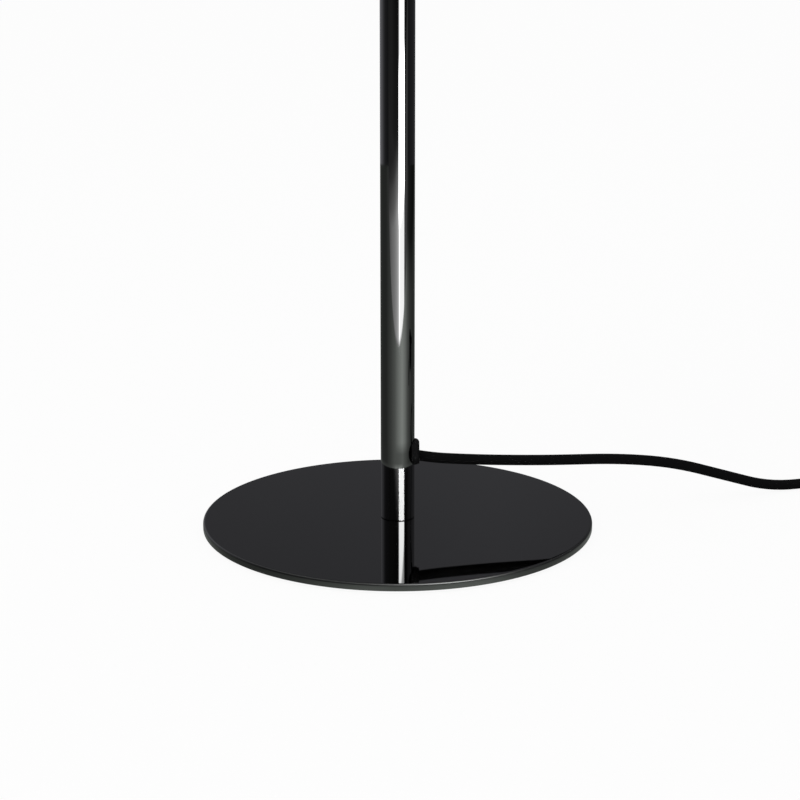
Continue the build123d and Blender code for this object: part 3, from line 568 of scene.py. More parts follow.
def first_point(name, radius, height):
    """A new piece of one point beside the axis, in millimetres, left in edit mode."""
    deselect()
    bpy.ops.mesh.primitive_plane_add(size=MM)
    piece = bpy.context.object
    piece.name = name
    start_edit("VERT", "SELECT")
    bpy.ops.mesh.merge(type="CENTER")
    bpy.ops.transform.translate(value=(radius * MM, 0.0, height * MM))
    return piece


def next_point(outwards, upwards):
    """Extrudes the last point by a step in millimetres."""
    way = (outwards * MM, 0.0, upwards * MM)
    bpy.ops.mesh.extrude_vertices_move(TRANSFORM_OT_translate={"value": way})


def merge_doubles():
    bpy.ops.mesh.select_all(action="SELECT")
    bpy.ops.mesh.remove_doubles(threshold=WELD)


def face_outwards():
    """Turns all faces outwards and leaves edit mode."""
    bpy.ops.mesh.select_all(action="SELECT")
    bpy.ops.mesh.normals_make_consistent(inside=False)
    bpy.ops.object.mode_set(mode="OBJECT")


def turned(name, outline, steps):
    """A piece turned on a lathe from an outline of (radius, height) points in millimetres."""
    piece = first_point(name, *outline[0])
    for here, there in zip(outline, outline[1:]):
        next_point(there[0] - here[0], there[1] - here[1])
    bpy.ops.mesh.select_all(action="SELECT")
    bpy.ops.mesh.spin(steps=steps, angle=math.tau, center=(0.0, 0.0, 0.0), axis=(0.0, 0.0, 1.0))
    merge_doubles()
    face_outwards()
    return piece


def select_faces(piece, wanted):
    """Edit mode with those faces selected whose middle is wanted."""
    start_edit("FACE", "DESELECT")
    mesh = bmesh.from_edit_mesh(piece.data)
    for face in mesh.faces:
        face.select_set(wanted(face.calc_center_median()))
    bmesh.update_edit_mesh(piece.data)


def round_rim(piece, radius, height, size, segments):
    """Rounds the circular edge of a turned piece at one radius and height, all in millimetres."""

    def on_rim(vertex):
        away = math.hypot(vertex.co.x, vertex.co.y) / MM
        return abs(away - radius) < ON_EDGE and abs(vertex.co.z / MM - height) < ON_EDGE

    start_edit("EDGE", "DESELECT")
    mesh = bmesh.from_edit_mesh(piece.data)
    for edge in mesh.edges:
        edge.select_set(all(on_rim(vertex) for vertex in edge.verts))
    bmesh.update_edit_mesh(piece.data)
    bpy.ops.mesh.bevel(offset=size * MM, segments=segments, affect="EDGES")
    bpy.ops.object.mode_set(mode="OBJECT")


def finish_piece(piece, finish, slot, *replaced):
    """Smooths a piece, gives it its finish and its body, and hides the CAD nodes that it
    replaces.
    """
    pick(piece)
    bpy.ops.object.shade_smooth_by_angle(angle=SMOOTH_ANGLE)
    piece.data.materials.clear()
    piece.data.materials.append(finish)
    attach(piece, LAMP)
    if replaced:
        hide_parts(*replaced)


print("turning helpers ready")

# %% [markdown]
# The plate is a turned disc, and a mirror shows every flat facet on its rim. So the plate is
# turned again here with many more steps than the CAD mesh has, and its two rims are rounded with
# a bevel. One outline point close to the rim keeps the wide top face truly flat.

# %% Base plate
PLATE_RADIUS, PLATE_BOTTOM, PLATE_TOP = 110.0, 1.5, 5.5
FLAT_TOP, FLAT_BOTTOM = 108.0, 108.5
SCREW_HOLE, SCREW_MOUTH, MOUTH_TOP = 3.15, 6.15, 4.5
PLATE_STEPS = 256
TOP_ROUND, TOP_SEGMENTS = 1.2, 8
BOTTOM_ROUND, BOTTOM_SEGMENTS = 0.4, 5
PLATE_OUTLINE = [
    (SCREW_HOLE, PLATE_TOP), (FLAT_TOP, PLATE_TOP), (PLATE_RADIUS, PLATE_TOP),
    (PLATE_RADIUS, PLATE_BOTTOM), (FLAT_BOTTOM, PLATE_BOTTOM), (SCREW_MOUTH, PLATE_BOTTOM),
    (SCREW_HOLE, MOUTH_TOP), (SCREW_HOLE, PLATE_TOP),
]
plate = turned("mirror_plate", PLATE_OUTLINE, PLATE_STEPS)
round_rim(plate, PLATE_RADIUS, PLATE_TOP, TOP_ROUND, TOP_SEGMENTS)
round_rim(plate, PLATE_RADIUS, PLATE_BOTTOM, BOTTOM_ROUND, BOTTOM_SEGMENTS)
finish_piece(plate, PLATE_CHROME, "black_chrome", "base_plate")
print("plate with", len(plate.data.polygons), "faces")

# %% [markdown]
# The shade's skin is one curved strip of linen, cut from the roll, bent to a cone and glued at
# the back. It is made as an open cone. Each point's place on the flat strip goes into a UV map
# named cloth, in metres, so the threads run as they do on a strip that was cut flat. A Solidify
# modifier gives the cloth its thickness, once the next step has copied its seam from it.

# %% Shade cloth
SHADE_LOW, SHADE_HIGH = 313.5, 485.5
SHADE_LOW_RADIUS, SHADE_HIGH_RADIUS = 125.0, 110.0
SHADE_STEPS = 192
SLANT = math.hypot(SHADE_HIGH - SHADE_LOW, SHADE_LOW_RADIUS - SHADE_HIGH_RADIUS)
TAPER = (SHADE_LOW_RADIUS - SHADE_HIGH_RADIUS) / SLANT


def angle_from_front(point, side):
    """Angle round the shade from its front; side tells which way the back seam's points count."""
    angle = math.atan2(point.x, -point.y)
    if angle * side < 0 and abs(angle) > math.pi / 2:
        angle += math.copysign(math.tau, side)
    return angle


def on_flat_strip(point, side):
    """Where a point of the cone lies on the flat strip, in metres."""
    turn = angle_from_front(point, side) * TAPER
    from_tip = math.hypot(point.x, point.y) / TAPER
    return from_tip * math.sin(turn), from_tip * math.cos(turn)


def lay_out_cloth(piece, flat_place):
    """Writes the flat place of every corner into the UV map named cloth."""
    mesh = piece.data
    while mesh.uv_layers:
        mesh.uv_layers.remove(mesh.uv_layers[0])
    flat = mesh.uv_layers.new(name="cloth")
    for face in mesh.polygons:
        for corner in face.loop_indices:
            point = mesh.vertices[mesh.loops[corner].vertex_index].co
            flat.data[corner].uv = flat_place(point, face.center.x)


deselect()
bpy.ops.mesh.primitive_cone_add(
    vertices=SHADE_STEPS, radius1=SHADE_LOW_RADIUS * MM, radius2=SHADE_HIGH_RADIUS * MM,
    depth=(SHADE_HIGH - SHADE_LOW) * MM, end_fill_type="NOTHING",
    location=(0.0, 0.0, (SHADE_LOW + SHADE_HIGH) / 2 * MM),
)
cloth = bpy.context.object
cloth.name = "linen_skin"
bpy.ops.object.transform_apply(location=True)
lay_out_cloth(cloth, on_flat_strip)
print("cloth cone with", len(cloth.data.polygons), "faces, taper", round(TAPER, 4))

# %% [markdown]
# At the back the strip's end lies over its start, and that overlap is seen as a narrow raised
# band. It is copied from the two faces of the cone beside the join, and thickened outwards. The
# cloth itself is thickened inwards.

# %% Back seam
INWARDS, OUTWARDS = -1.0, 1.0
CLOTH_THICKNESS = 0.8
SEAM_THICKNESS = 0.45
SEAM_REACH = 3.0


def thicken(piece, thickness, offset):
    """Gives a skin its thickness in millimetres, inwards or outwards."""
    pick(piece)
    wall = piece.modifiers.new("thickness", "SOLIDIFY")
    wall.thickness = thickness * MM
    wall.offset = offset
    bpy.ops.object.modifier_apply(modifier=wall.name)


def beside_join(middle):
    return middle.y > 0.0 and abs(middle.x) < SEAM_REACH * MM


select_faces(cloth, beside_join)
bpy.ops.mesh.duplicate()
bpy.ops.mesh.separate(type="SELECTED")
bpy.ops.object.mode_set(mode="OBJECT")
seam = next(piece for piece in bpy.context.selected_objects if piece != cloth)
seam.name = "back_seam"
thicken(seam, SEAM_THICKNESS, OUTWARDS)
thicken(cloth, CLOTH_THICKNESS, INWARDS)
finish_piece(cloth, LINEN, "linen", "shade_cloth")
finish_piece(seam, LINEN, "linen")
print("seam with", len(seam.data.polygons), "faces")

# %% [markdown]
# A tape of finer linen is folded over the shade's two edges, and hides the wire rings from
# outside. It is turned as a narrow U, and the fold is rounded with a bevel. The way up the
# outside, over the fold and down the inside is the tape's width in its UV map.

# %% Folded tapes
TAPE_WIDTH, TAPE_SLOPE = 10.0, 0.2
OUTER_NEAR, OUTER_FAR = 0.05, 0.55
INNER_NEAR, INNER_FAR = 1.35, 1.85
FOLD_ROUND, FOLD_SEGMENTS = 0.45, 4


def cone_radius(height):
    """Radius of the cloth's outside at a height, all in millimetres."""
    share = (height - SHADE_LOW) / (SHADE_HIGH - SHADE_LOW)
    return SHADE_LOW_RADIUS + share * (SHADE_HIGH_RADIUS - SHADE_LOW_RADIUS)


def folded_tape(name, edge, up, replaced):
    """A tape over one edge; up is 1 where the tape reaches upwards from the edge."""

    def at(inset, rise):
        height = edge + up * rise
        return cone_radius(height) - inset, height

    def on_tape(point, side):
        around = angle_from_front(point, side) * SHADE_LOW_RADIUS
        height = point.z / MM
        inset = cone_radius(height) - math.hypot(point.x, point.y) / MM
        return around * MM, (up * (height - edge) - inset) * MM

    outer_fold, inner_fold = at(-OUTER_FAR, -OUTER_FAR), at(INNER_FAR, -OUTER_FAR)
    outline = [
        at(-OUTER_NEAR, TAPE_WIDTH), at(-OUTER_FAR, TAPE_WIDTH - TAPE_SLOPE),
        at(-OUTER_FAR, TAPE_WIDTH / 2), outer_fold, inner_fold, at(INNER_FAR, TAPE_WIDTH),
        at(INNER_NEAR, TAPE_WIDTH), at(INNER_NEAR, -OUTER_NEAR), at(-OUTER_NEAR, -OUTER_NEAR),
        at(-OUTER_NEAR, TAPE_WIDTH),
    ]
    tape = turned(name, outline, SHADE_STEPS)
    round_rim(tape, *outer_fold, FOLD_ROUND, FOLD_SEGMENTS)
    round_rim(tape, *inner_fold, FOLD_ROUND, FOLD_SEGMENTS)
    lay_out_cloth(tape, on_tape)
    finish_piece(tape, LINEN_TAPE, "linen_tape", replaced)
    return tape


lower_tape = folded_tape("lower_tape", SHADE_LOW, 1, "shade_lower_trim")
upper_tape = folded_tape("upper_tape", SHADE_HIGH, -1, "shade_upper_trim")

# %% [markdown]
# The shade's hub is clamped between two threaded rings on the holder's skirt. A hand turns such
# a ring, so its rim is notched. A Boolean could cut each notch, but it leaves a ragged mesh. The
# ring is turned plain, and every third face of its rim is pushed in.

# %% Grip rings
RING_BORE, COLLAR_RADIUS, FLANGE_RADIUS = 19.55, 23.05, 28.0
FLANGE_HEIGHT, RING_HEIGHT = 2.0, 7.0
RING_STEPS = 144
NOTCH_EVERY, NOTCH_DEPTH = 3, 0.6
RIM_FROM = 27.9
HUB_BOTTOM, HUB_TOP = 373.5, 375.0


def at_notch(middle):
    """True for the faces of the flange's rim that are pushed in."""
    around = math.atan2(middle.y, middle.x) / math.tau * RING_STEPS
    on_flange = math.hypot(middle.x, middle.y) > RIM_FROM * MM
    return on_flange and math.floor(around) % NOTCH_EVERY == 0


def grip_ring(name, face, up, replaced):
    """A ring with its flange against the hub; up is 1 for the ring above it."""
    step, end = face + FLANGE_HEIGHT * up, face + RING_HEIGHT * up
    outline = [
        (RING_BORE, face), (FLANGE_RADIUS, face), (FLANGE_RADIUS, step), (COLLAR_RADIUS, step),
        (COLLAR_RADIUS, end), (RING_BORE, end), (RING_BORE, face),
    ]
    ring = turned(name, outline, RING_STEPS)
    select_faces(ring, at_notch)
    inwards = {"value": -NOTCH_DEPTH * MM}
    bpy.ops.mesh.extrude_region_shrink_fatten(TRANSFORM_OT_shrink_fatten=inwards)
    bpy.ops.object.mode_set(mode="OBJECT")
    finish_piece(ring, BLACK_PLASTIC, "black_plastic", replaced)
    reach = max(math.hypot(vertex.co.x, vertex.co.y) for vertex in ring.data.vertices)
    print(name, "reaches", round(reach / MM, 2), "mm")


grip_ring("lower_clamp_ring", HUB_BOTTOM, -1, "lower_grip_ring")
grip_ring("upper_clamp_ring", HUB_TOP, 1, "upper_grip_ring")

# %% [markdown]
# The rings run on a coarse thread on the holder's skirt. A Screw modifier winds one small
# triangle up the skirt, and its two open ends are closed afterwards.

# %% Thread on the holder's skirt
THREAD_PITCH = 2.5
THREAD_TURNS = 11
THREAD_STEPS = 72
THREAD_FOOT, THREAD_START = 19.2, 361.5
THREAD_DEPTH, THREAD_FLANK = 0.85, 0.8
thread = first_point("skirt_thread", THREAD_FOOT, THREAD_START)
next_point(THREAD_DEPTH, THREAD_FLANK)
next_point(-THREAD_DEPTH, THREAD_FLANK)
bpy.ops.mesh.select_all(action="SELECT")
bpy.ops.mesh.edge_face_add()
bpy.ops.mesh.delete(type="ONLY_FACE")
bpy.ops.object.mode_set(mode="OBJECT")
winding = thread.modifiers.new("winding", "SCREW")
winding.axis = "Z"
winding.screw_offset = THREAD_PITCH * MM
winding.iterations = THREAD_TURNS
winding.steps = THREAD_STEPS
winding.render_steps = THREAD_STEPS
bpy.ops.object.modifier_apply(modifier=winding.name)
start_edit("VERT", "SELECT")
merge_doubles()
bpy.ops.mesh.select_all(action="DESELECT")
bpy.ops.mesh.select_non_manifold()
bpy.ops.mesh.fill()
face_outwards()
finish_piece(thread, BLACK_PLASTIC, "black_plastic")
print("thread with", len(thread.data.polygons), "faces")

# %% [markdown]
# The bulb's diffuser is a thin opal ball, cut off where it meets its housing. A sphere could be
# cut there, but a turned outline ends exactly on the edge. The outline is an arc worked out in a
# loop, from that edge up to the top, and the turned skin gets its wall inwards.

# %% Bulb globe
GLOBE_MIDDLE, GLOBE_RADIUS, GLOBE_DROP = 444.3, 30.0, 19.96
GLOBE_WALL = 1.2
GLOBE_STEPS = 128
ARC_STEPS = 40
ARC_START = -math.asin(GLOBE_DROP / GLOBE_RADIUS)
arc = []
for step in range(ARC_STEPS + 1):
    angle = ARC_START + (math.pi / 2 - ARC_START) * step / ARC_STEPS
    arc.append((GLOBE_RADIUS * math.cos(angle), GLOBE_MIDDLE + GLOBE_RADIUS * math.sin(angle)))
globe = turned("opal_globe", arc, GLOBE_STEPS)
thicken(globe, GLOBE_WALL, INWARDS)
finish_piece(globe, OPAL, "opal_plastic", "bulb_globe")
print("globe with", len(globe.data.polygons), "faces")

# %% [markdown]
# The studio is a white table in a white room. Camera, mirror and glass rays see both at
# strength 1, and the table keeps a faint shadow, because part of its surface is an ordinary
# white diffuser.

# %% Table and room
TABLE_SIZE = 9.0
TABLE_PAINT = 0.92
WHITE_SHARE = 0.93
ROOM_LIGHT = 0.7


def scaled(material, value, factor):
    """A value times a fixed factor."""
    step = add_node(material, "ShaderNodeMath", operation="MULTIPLY")
    step.inputs[1].default_value = factor
    join(material, value, step.inputs[0])
    return step.outputs["Value"]


def seen_directly(material):
    """1 for rays from the camera or out of a mirror or glass, 0 for rays that carry light."""
    rays = add_node(material, "ShaderNodeLightPath").outputs
    seen = combine(material, "MAXIMUM", rays["Is Camera Ray"], rays["Is Glossy Ray"])
    return combine(material, "MAXIMUM", seen, rays["Is Transmission Ray"])


def bare_material(name):
    """A material with no nodes yet."""
    material = bpy.data.materials.new(name)
    material.use_nodes = True
    material.node_tree.nodes.clear()
    return material


def table_white():
    material = bare_material("table_white")
    diffuse = add_node(material, "ShaderNodeBsdfDiffuse")
    diffuse.inputs["Color"].default_value = (TABLE_PAINT, TABLE_PAINT, TABLE_PAINT, 1.0)
    white = add_node(material, "ShaderNodeEmission")
    white.inputs["Strength"].default_value = 1.0
    mix = add_node(material, "ShaderNodeMixShader")
    out = add_node(material, "ShaderNodeOutputMaterial")
    join(material, scaled(material, seen_directly(material), WHITE_SHARE), mix.inputs["Fac"])
    join(material, diffuse.outputs["BSDF"], mix.inputs[1])
    join(material, white.outputs["Emission"], mix.inputs[2])
    join(material, mix.outputs["Shader"], out.inputs["Surface"])
    return material


deselect()
bpy.ops.mesh.primitive_plane_add(size=TABLE_SIZE, location=(0.0, 0.0, 0.0))
table = bpy.context.object
table.name = "table"
table.data.materials.append(table_white())

room = bpy.data.worlds.new("room")
room.use_nodes = True
scene.world = room
background = room.node_tree.nodes["Background"]
background.inputs["Color"].default_value = (1.0, 1.0, 1.0, 1.0)
room_light = part_way(room, seen_directly(room), 0.0, 1.0, ROOM_LIGHT, 1.0)
join(room, room_light, background.inputs["Strength"])
print("table and room made")

# %% [markdown]
# A mirror shows the studio, not itself. So each piece of the studio is an emitter with a pattern
# that only mirrors can see. Its brightness follows its Object coordinates through colour ramps,
# which need no picture and are easy to change.


# %% Helpers for the studio
def ramp(material, value, low, high, stops, tint=(1.0, 1.0, 1.0)):
    """Brightness along a value; stops are (value, brightness), and low and high are its ends."""
    colours = add_node(material, "ShaderNodeValToRGB")
    elements = colours.color_ramp.elements
    while len(elements) < len(stops):
        elements.new(0.5)
    for element, (place, bright) in zip(elements, stops):
        element.position = (place - low) / (high - low)
        element.color = (*(bright * part for part in tint), 1.0)
    join(material, part_way(material, value, low, high), colours.inputs["Fac"])
    return colours.outputs["Color"]


def blend(material, share, first, second):
    """The first socket's colour where the share is 0, and the second's where it is 1."""
    mix = add_node(material, "ShaderNodeMix", data_type="RGBA")
    join(material, share, mix.inputs["Factor"])
    join(material, first, mix.inputs["A"])
    join(material, second, mix.inputs["B"])
    return mix.outputs["Result"]


def glow(material, brightness, strength, see_through=False):
    """Ends a material as an emitter, which may also let rays through."""
    light = add_node(material, "ShaderNodeEmission")
    light.inputs["Strength"].default_value = strength
    out = add_node(material, "ShaderNodeOutputMaterial")
    join(material, brightness, light.inputs["Color"])
    if not see_through:
        join(material, light.outputs["Emission"], out.inputs["Surface"])
        return
    clear = add_node(material, "ShaderNodeBsdfTransparent")
    both = add_node(material, "ShaderNodeAddShader")
    join(material, light.outputs["Emission"], both.inputs[0])
    join(material, clear.outputs["BSDF"], both.inputs[1])
    join(material, both.outputs["Shader"], out.inputs["Surface"])


def place_on_object(material):
    """The three Object coordinates as sockets."""
    place = add_node(material, "ShaderNodeTexCoord")
    split = add_node(material, "ShaderNodeSeparateXYZ")
    join(material, place.outputs["Object"], split.inputs["Vector"])
    return split.outputs["X"], split.outputs["Y"], split.outputs["Z"]


def degrees_from_front(material, x, y):
    """Angle round the lamp from its front, to the right."""
    angle = combine(material, "ARCTAN2", x, scaled(material, y, -1.0))
    degrees = add_node(material, "ShaderNodeMath", operation="DEGREES")
    join(material, angle, degrees.inputs[0])
    return degrees.outputs["Value"]


def stand_in_studio(piece, name, material):
    """Names a piece of the studio, gives it its glow, and shows it to glossy rays alone."""
    piece.name = name
    piece.data.materials.clear()
    piece.data.materials.append(material)
    piece.visible_camera = False
    piece.visible_diffuse = False
    piece.visible_transmission = False
    piece.visible_volume_scatter = False
    piece.visible_shadow = False


print("studio helpers ready")

# %% [markdown]
# Photographers shape a mirror's reflection with dark flags and one bright strip. Here a wide ring
# of dark flags stands round the lamp, with one paler stretch behind it on the left. The tone of
# the flags straight behind is what the plate shows as its own.

# %% Flags round the lamp
ALL_ROUND = (-180, 180)
STUDIO_RADIUS = 1.3
STUDIO_SIDES = 96
FLAG_HEIGHT = 1.7
FLAG_TINT = (1.0, 1.0, 1.08)
LOW_FLAGS = [
    (-180, 0.116), (-175, 0.112), (-168, 0.11), (-150, 0.42), (-118, 0.42), (-100, 0.18),
    (-85, 0.08), (-60, 0.05), (60, 0.05), (100, 0.09), (168, 0.11), (175, 0.124), (180, 0.116),
]
HIGH_FLAGS = [
    (-180, 0.116), (-175, 0.112), (-168, 0.11), (-150, 0.55), (-118, 0.55), (-100, 0.2),
    (-85, 0.12), (-60, 0.1), (55, 0.12), (75, 0.17), (100, 0.22), (125, 0.25), (168, 0.11),
    (175, 0.124), (180, 0.116),
]
FLAG_CHANGE = (0.25, 0.35)


def flag_glow():
    material = bare_material("flag_glow")
    x, y, z = place_on_object(material)
    angle = degrees_from_front(material, x, y)
    low = ramp(material, angle, *ALL_ROUND, LOW_FLAGS, FLAG_TINT)
    high = ramp(material, angle, *ALL_ROUND, HIGH_FLAGS, FLAG_TINT)
    tone = blend(material, part_way(material, z, *FLAG_CHANGE), low, high)
    glow(material, tone, 1.0)
    return material


deselect()
bpy.ops.mesh.primitive_cylinder_add(
    vertices=STUDIO_SIDES, radius=STUDIO_RADIUS, depth=FLAG_HEIGHT, end_fill_type="NOTHING",
    location=(0.0, 0.0, FLAG_HEIGHT / 2),
)
flags = bpy.context.object
bpy.ops.object.transform_apply(location=True)
stand_in_studio(flags, "flags", flag_glow())
print("flags of", STUDIO_RADIUS, "m radius")

# %% [markdown]
# In front of the lamp lies a stretch of lit table, brightest to the right of the camera and dark
# again far to the right. Close to the plate, in the lamp's own shadow, it is flatter, and a last
# narrow ring beside the plate is all that the plate's rim shows.

# %% Lit table in front
TABLE_GLOW = 2.0
TABLE_TINT = (0.985, 1.05, 0.985)
TABLE_STOPS = [
    (-180, 0.056), (-80, 0.068), (-45, 0.16), (-18, 0.29), (9, 0.6), (30, 0.8), (52, 0.52),
    (67, 0.256), (85, 0.128), (110, 0.068), (180, 0.056),
]
SHADOW_STOPS = [
    (-180, 0.055), (-76, 0.075), (-46, 0.145), (-19, 0.26), (6, 0.3), (33, 0.365), (46, 0.27),
    (61, 0.19), (76, 0.115), (110, 0.06), (180, 0.055),
]
RIM_STOPS = [
    (-180, 0.125), (-60, 0.145), (-45, 0.17), (-30, 0.29), (-20, 0.44), (-8, 0.7), (0, 0.62),
    (8, 0.7), (19, 0.85), (25, 0.8), (32, 0.6), (39, 0.38), (48, 0.3), (67, 0.22), (90, 0.15),
    (180, 0.125),
]
RIM_RING = (0.125, 0.135)
SHADOW_RING = (0.155, 0.18)
FAR_RIGHT, FAR_RIGHT_SHARE = (0.6, 0.85), 0.25
LIT_TABLE_LIFT = 0.3 * MM


def lit_table():
    material = bare_material("lit_table")
    x, y, _ = place_on_object(material)
    angle = degrees_from_front(material, x, y)
    x_square = combine(material, "MULTIPLY", x, x)
    y_square = combine(material, "MULTIPLY", y, y)
    distance = add_node(material, "ShaderNodeMath", operation="SQRT")
    join(material, combine(material, "ADD", x_square, y_square), distance.inputs[0])
    away = distance.outputs["Value"]
    rim = ramp(material, angle, *ALL_ROUND, RIM_STOPS, TABLE_TINT)
    shadow = ramp(material, angle, *ALL_ROUND, SHADOW_STOPS, TABLE_TINT)
    open_table = ramp(material, angle, *ALL_ROUND, TABLE_STOPS, TABLE_TINT)
    near = blend(material, part_way(material, away, *RIM_RING), rim, shadow)
    tone = blend(material, part_way(material, away, *SHADOW_RING), near, open_table)
    dim = add_node(material, "ShaderNodeVectorMath", operation="SCALE")
    join(material, tone, dim.inputs[0])
    dimming = part_way(material, x, *FAR_RIGHT, 1.0, FAR_RIGHT_SHARE)
    join(material, dimming, dim.inputs["Scale"])
    glow(material, dim.outputs["Vector"], TABLE_GLOW)
    return material


deselect()
bpy.ops.mesh.primitive_circle_add(
    vertices=STUDIO_SIDES, radius=STUDIO_RADIUS, fill_type="NGON",
    location=(0.0, 0.0, LIT_TABLE_LIFT),
)
patch = bpy.context.object
bpy.ops.object.transform_apply(location=True)
stand_in_studio(patch, "lit_table", lit_table())
print("lit table of", TABLE_GLOW)

# %% [markdown]
# The bright line on the stem is a strip light in a flat panel that stands on the table. A round
# tube shows the foot of a flat panel as a pointed tongue, because the panel is nearest straight
# in front of it. Low down the panel is grey to the left of the strip and the strip is dim. Higher
# up the panel is dark, and the strip is brightest for a stretch and then dim again. Its lowest
# few millimetres are darker still, a painted contact shadow where the panel stands on the table.

# %% Panel with the strip light
PANEL_AWAY = 0.435
PANEL_TURN = math.radians(5.0)
PANEL_WIDTH = 2.0
PANEL_HEIGHT = 0.8
PANEL_SIDES = (-PANEL_WIDTH / 2, PANEL_WIDTH / 2)
STRIP_GLOW = 30.0
GREY_SLOPE = -0.12
GREY_TOP, STRIP_TOP = 0.3, 0.32
GREY_STOPS = [
    (-1.0, 0.0034), (-0.557, 0.0215), (-0.219, 0.042), (-0.1, 0.061), (0.003, 0.1), (0.06, 0.1),
    (0.09, 0.01), (0.475, 0.01), (1.0, 0.0034),
]
GREY_HEIGHTS = [
    (0.0, 1.0), (0.11, 1.0), (0.125, 0.55), (0.14, 0.35), (0.15, 0.14), (0.165, 0.03),
    (GREY_TOP, 0.0),
]
STRIP_STOPS = [(-1.0, 0.0), (0.01, 0.0), (0.05, 1.0), (0.34, 1.0), (0.38, 0.0), (1.0, 0.0)]
STRIP_HEIGHTS = [
    (0.0, 0.24), (0.09, 0.24), (0.105, 1.0), (0.205, 1.0), (0.22, 0.29), (0.3, 0.29),
    (STRIP_TOP, 0.0),
]
DARK_HEIGHTS = [(0.0, 0.0035), (0.14, 0.0035), (0.165, 0.0008), (PANEL_HEIGHT, 0.0008)]
DARK_STOPS = [(-1.0, 0.003), (-0.4, 0.003), (-0.1, 0.0008), (0.5, 0.0008), (1.0, 0.003)]
# Height and remaining share of the painted contact shadow at the panel's foot.
FOOT_SHADOW_HEIGHT, FOOT_SHADOW_SHARE = 0.006, 0.25


def panel_pattern(material):
    """Brightness over the panel, as a share of the strip's."""
    across, up, _ = place_on_object(material)
    slope = combine(material, "ADD", scaled(material, across, GREY_SLOPE), up)
    grey = ramp(material, across, *PANEL_SIDES, GREY_STOPS)
    grey_up = ramp(material, slope, 0.0, GREY_TOP, GREY_HEIGHTS)
    strip = ramp(material, across, *PANEL_SIDES, STRIP_STOPS)
    strip_up = ramp(material, up, 0.0, STRIP_TOP, STRIP_HEIGHTS)
    low = combine(material, "MULTIPLY", grey, grey_up)
    lit = combine(material, "ADD", low, combine(material, "MULTIPLY", strip, strip_up))
    # Painted contact shadow: the brightness falls to a share of itself over the panel's lowest
    # millimetres.
    foot = part_way(material, up, 0.0, FOOT_SHADOW_HEIGHT, FOOT_SHADOW_SHARE, 1.0)
    with_foot_shadow = combine(material, "MULTIPLY", lit, foot)
    dark_up = ramp(material, up, 0.0, PANEL_HEIGHT, DARK_HEIGHTS)
    dark_across = ramp(material, across, *PANEL_SIDES, DARK_STOPS)
    dark = combine(material, "MAXIMUM", dark_up, dark_across)
    return combine(material, "ADD", with_foot_shadow, dark)


panel_glow = bare_material("panel_glow")
glow(panel_glow, panel_pattern(panel_glow), STRIP_GLOW, see_through=True)
deselect()
bpy.ops.mesh.primitive_plane_add(size=1.0)
panel = bpy.context.object
bpy.ops.transform.translate(value=(0.0, 0.5, 0.0))
bpy.ops.transform.resize(value=(PANEL_WIDTH, PANEL_HEIGHT, 1.0), center_override=(0.0, 0.0, 0.0))
bpy.ops.object.transform_apply(location=True, scale=True)
panel.location = (PANEL_AWAY * math.sin(PANEL_TURN), -PANEL_AWAY * math.cos(PANEL_TURN), 0.0)
panel.rotation_euler = (math.pi / 2, 0.0, PANEL_TURN)
stand_in_studio(panel, "strip_panel", panel_glow)
print("panel", PANEL_WIDTH, "m wide at", PANEL_AWAY, "m")

# %% [markdown]
# Seen from behind, flat faces would show the whole panel and turn white: the plate, the switch,
# the plug. Light linking keeps the panel for the stem alone. All else looks through it at a grey
# card right behind. A ray that meets the stem first and then the plate still finds the strip,
# because the card shows the panel's own pattern from the second reflection on.

# %% Grey card behind the panel
CARD_STOPS = [(0.0, 0.1), (0.1, 0.11), (0.3, 0.2), (PANEL_HEIGHT, 0.32)]
CARD_GAP = 2.0 * MM
SECOND_REFLECTION = (1.4, 1.6)


def card_glow():
    material = bare_material("card_glow")
    _, up, _ = place_on_object(material)
    grey = ramp(material, up, 0.0, PANEL_HEIGHT, CARD_STOPS, FLAG_TINT)
    pattern = scaled(material, panel_pattern(material), STRIP_GLOW)
    reflections = add_node(material, "ShaderNodeLightPath").outputs["Ray Depth"]
    later = part_way(material, reflections, *SECOND_REFLECTION)
    glow(material, blend(material, later, grey, pattern), 1.0)
    return material


def link_light(emitter, piece, state):
    """INCLUDE shows the emitter to one piece alone, EXCLUDE to every piece but that one."""
    receivers = bpy.data.collections.new(emitter.name + "_receivers")
    receivers.objects.link(piece)
    receivers.collection_objects[0].light_linking.link_state = state
    emitter.light_linking.receiver_collection = receivers


pick(panel)
bpy.ops.object.duplicate()
card = bpy.context.object
card.location *= (PANEL_AWAY + CARD_GAP) / PANEL_AWAY
stand_in_studio(card, "grey_card", card_glow())
stem = nodes["stem_tube"]
link_light(panel, stem, "INCLUDE")
link_light(card, stem, "EXCLUDE")
print("panel for", stem.name, "and card for all else")

# %% [markdown]
# The rounded rim shows what is above and in front as a thin bright line. A soft round light up on
# the right, brightest in its middle, gives that line to the front of the rim. Light linking keeps
# it for the plate, and other rays pass through it.

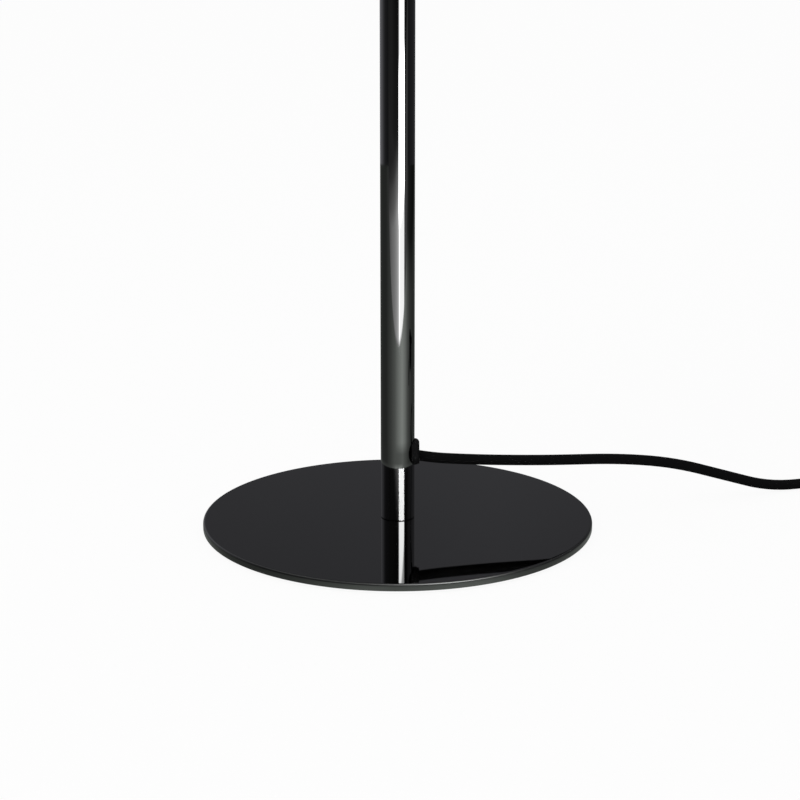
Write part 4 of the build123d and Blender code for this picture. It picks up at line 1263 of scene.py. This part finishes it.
# %% Rim light
RIM_LIGHT_GLOW = 24.0
RIM_LIGHT_RADIUS = 0.24
RIM_LIGHT_SIDES = 64
RIM_LIGHT_STRETCH = 1.35
RIM_LIGHT_STOPS = [(0.0, 1.0), (0.05, 0.8), (0.1, 0.35), (0.15, 0.13), (RIM_LIGHT_RADIUS, 0.0)]
RIM_LIGHT_PLACE = (0.19, -0.315, 0.3)


def rim_glow():
    material = bare_material("rim_glow")
    place = add_node(material, "ShaderNodeTexCoord")
    from_middle = add_node(material, "ShaderNodeVectorMath", operation="LENGTH")
    join(material, place.outputs["Object"], from_middle.inputs[0])
    distance = from_middle.outputs["Value"]
    fading = ramp(material, distance, 0.0, RIM_LIGHT_RADIUS, RIM_LIGHT_STOPS)
    glow(material, fading, RIM_LIGHT_GLOW, see_through=True)
    return material


deselect()
bpy.ops.mesh.primitive_circle_add(
    vertices=RIM_LIGHT_SIDES, radius=RIM_LIGHT_RADIUS, fill_type="NGON", location=RIM_LIGHT_PLACE
)
rim_light = bpy.context.object
rim_light.scale.x = RIM_LIGHT_STRETCH
stand_in_studio(rim_light, "rim_light", rim_glow())
link_light(rim_light, plate, "INCLUDE")
print("rim light of", RIM_LIGHT_RADIUS, "m radius")

# %% [markdown]
# One large soft lamp above and to the left gives the shade and the cord their form. It is wide,
# so its shadow is soft.

# %% Soft lamp
SOFT_PLACE = Vector((-0.9, -0.9, 1.7))
SOFT_TARGET = Vector((0.05, 0.0, 0.2))
SOFT_SIZE = 1.4
SOFT_POWER = 8.0
soft_light = bpy.data.lights.new("soft_lamp", "AREA")
soft_light.shape = "DISK"
soft_light.size = SOFT_SIZE
soft_light.energy = SOFT_POWER
soft_lamp = bpy.data.objects.new("soft_lamp", soft_light)
soft_lamp.location = SOFT_PLACE
soft_lamp.rotation_euler = (SOFT_TARGET - SOFT_PLACE).to_track_quat("-Z", "Y").to_euler()
soft_lamp.visible_glossy = False
scene.collection.objects.link(soft_lamp)
print("soft lamp of", SOFT_POWER, "W")
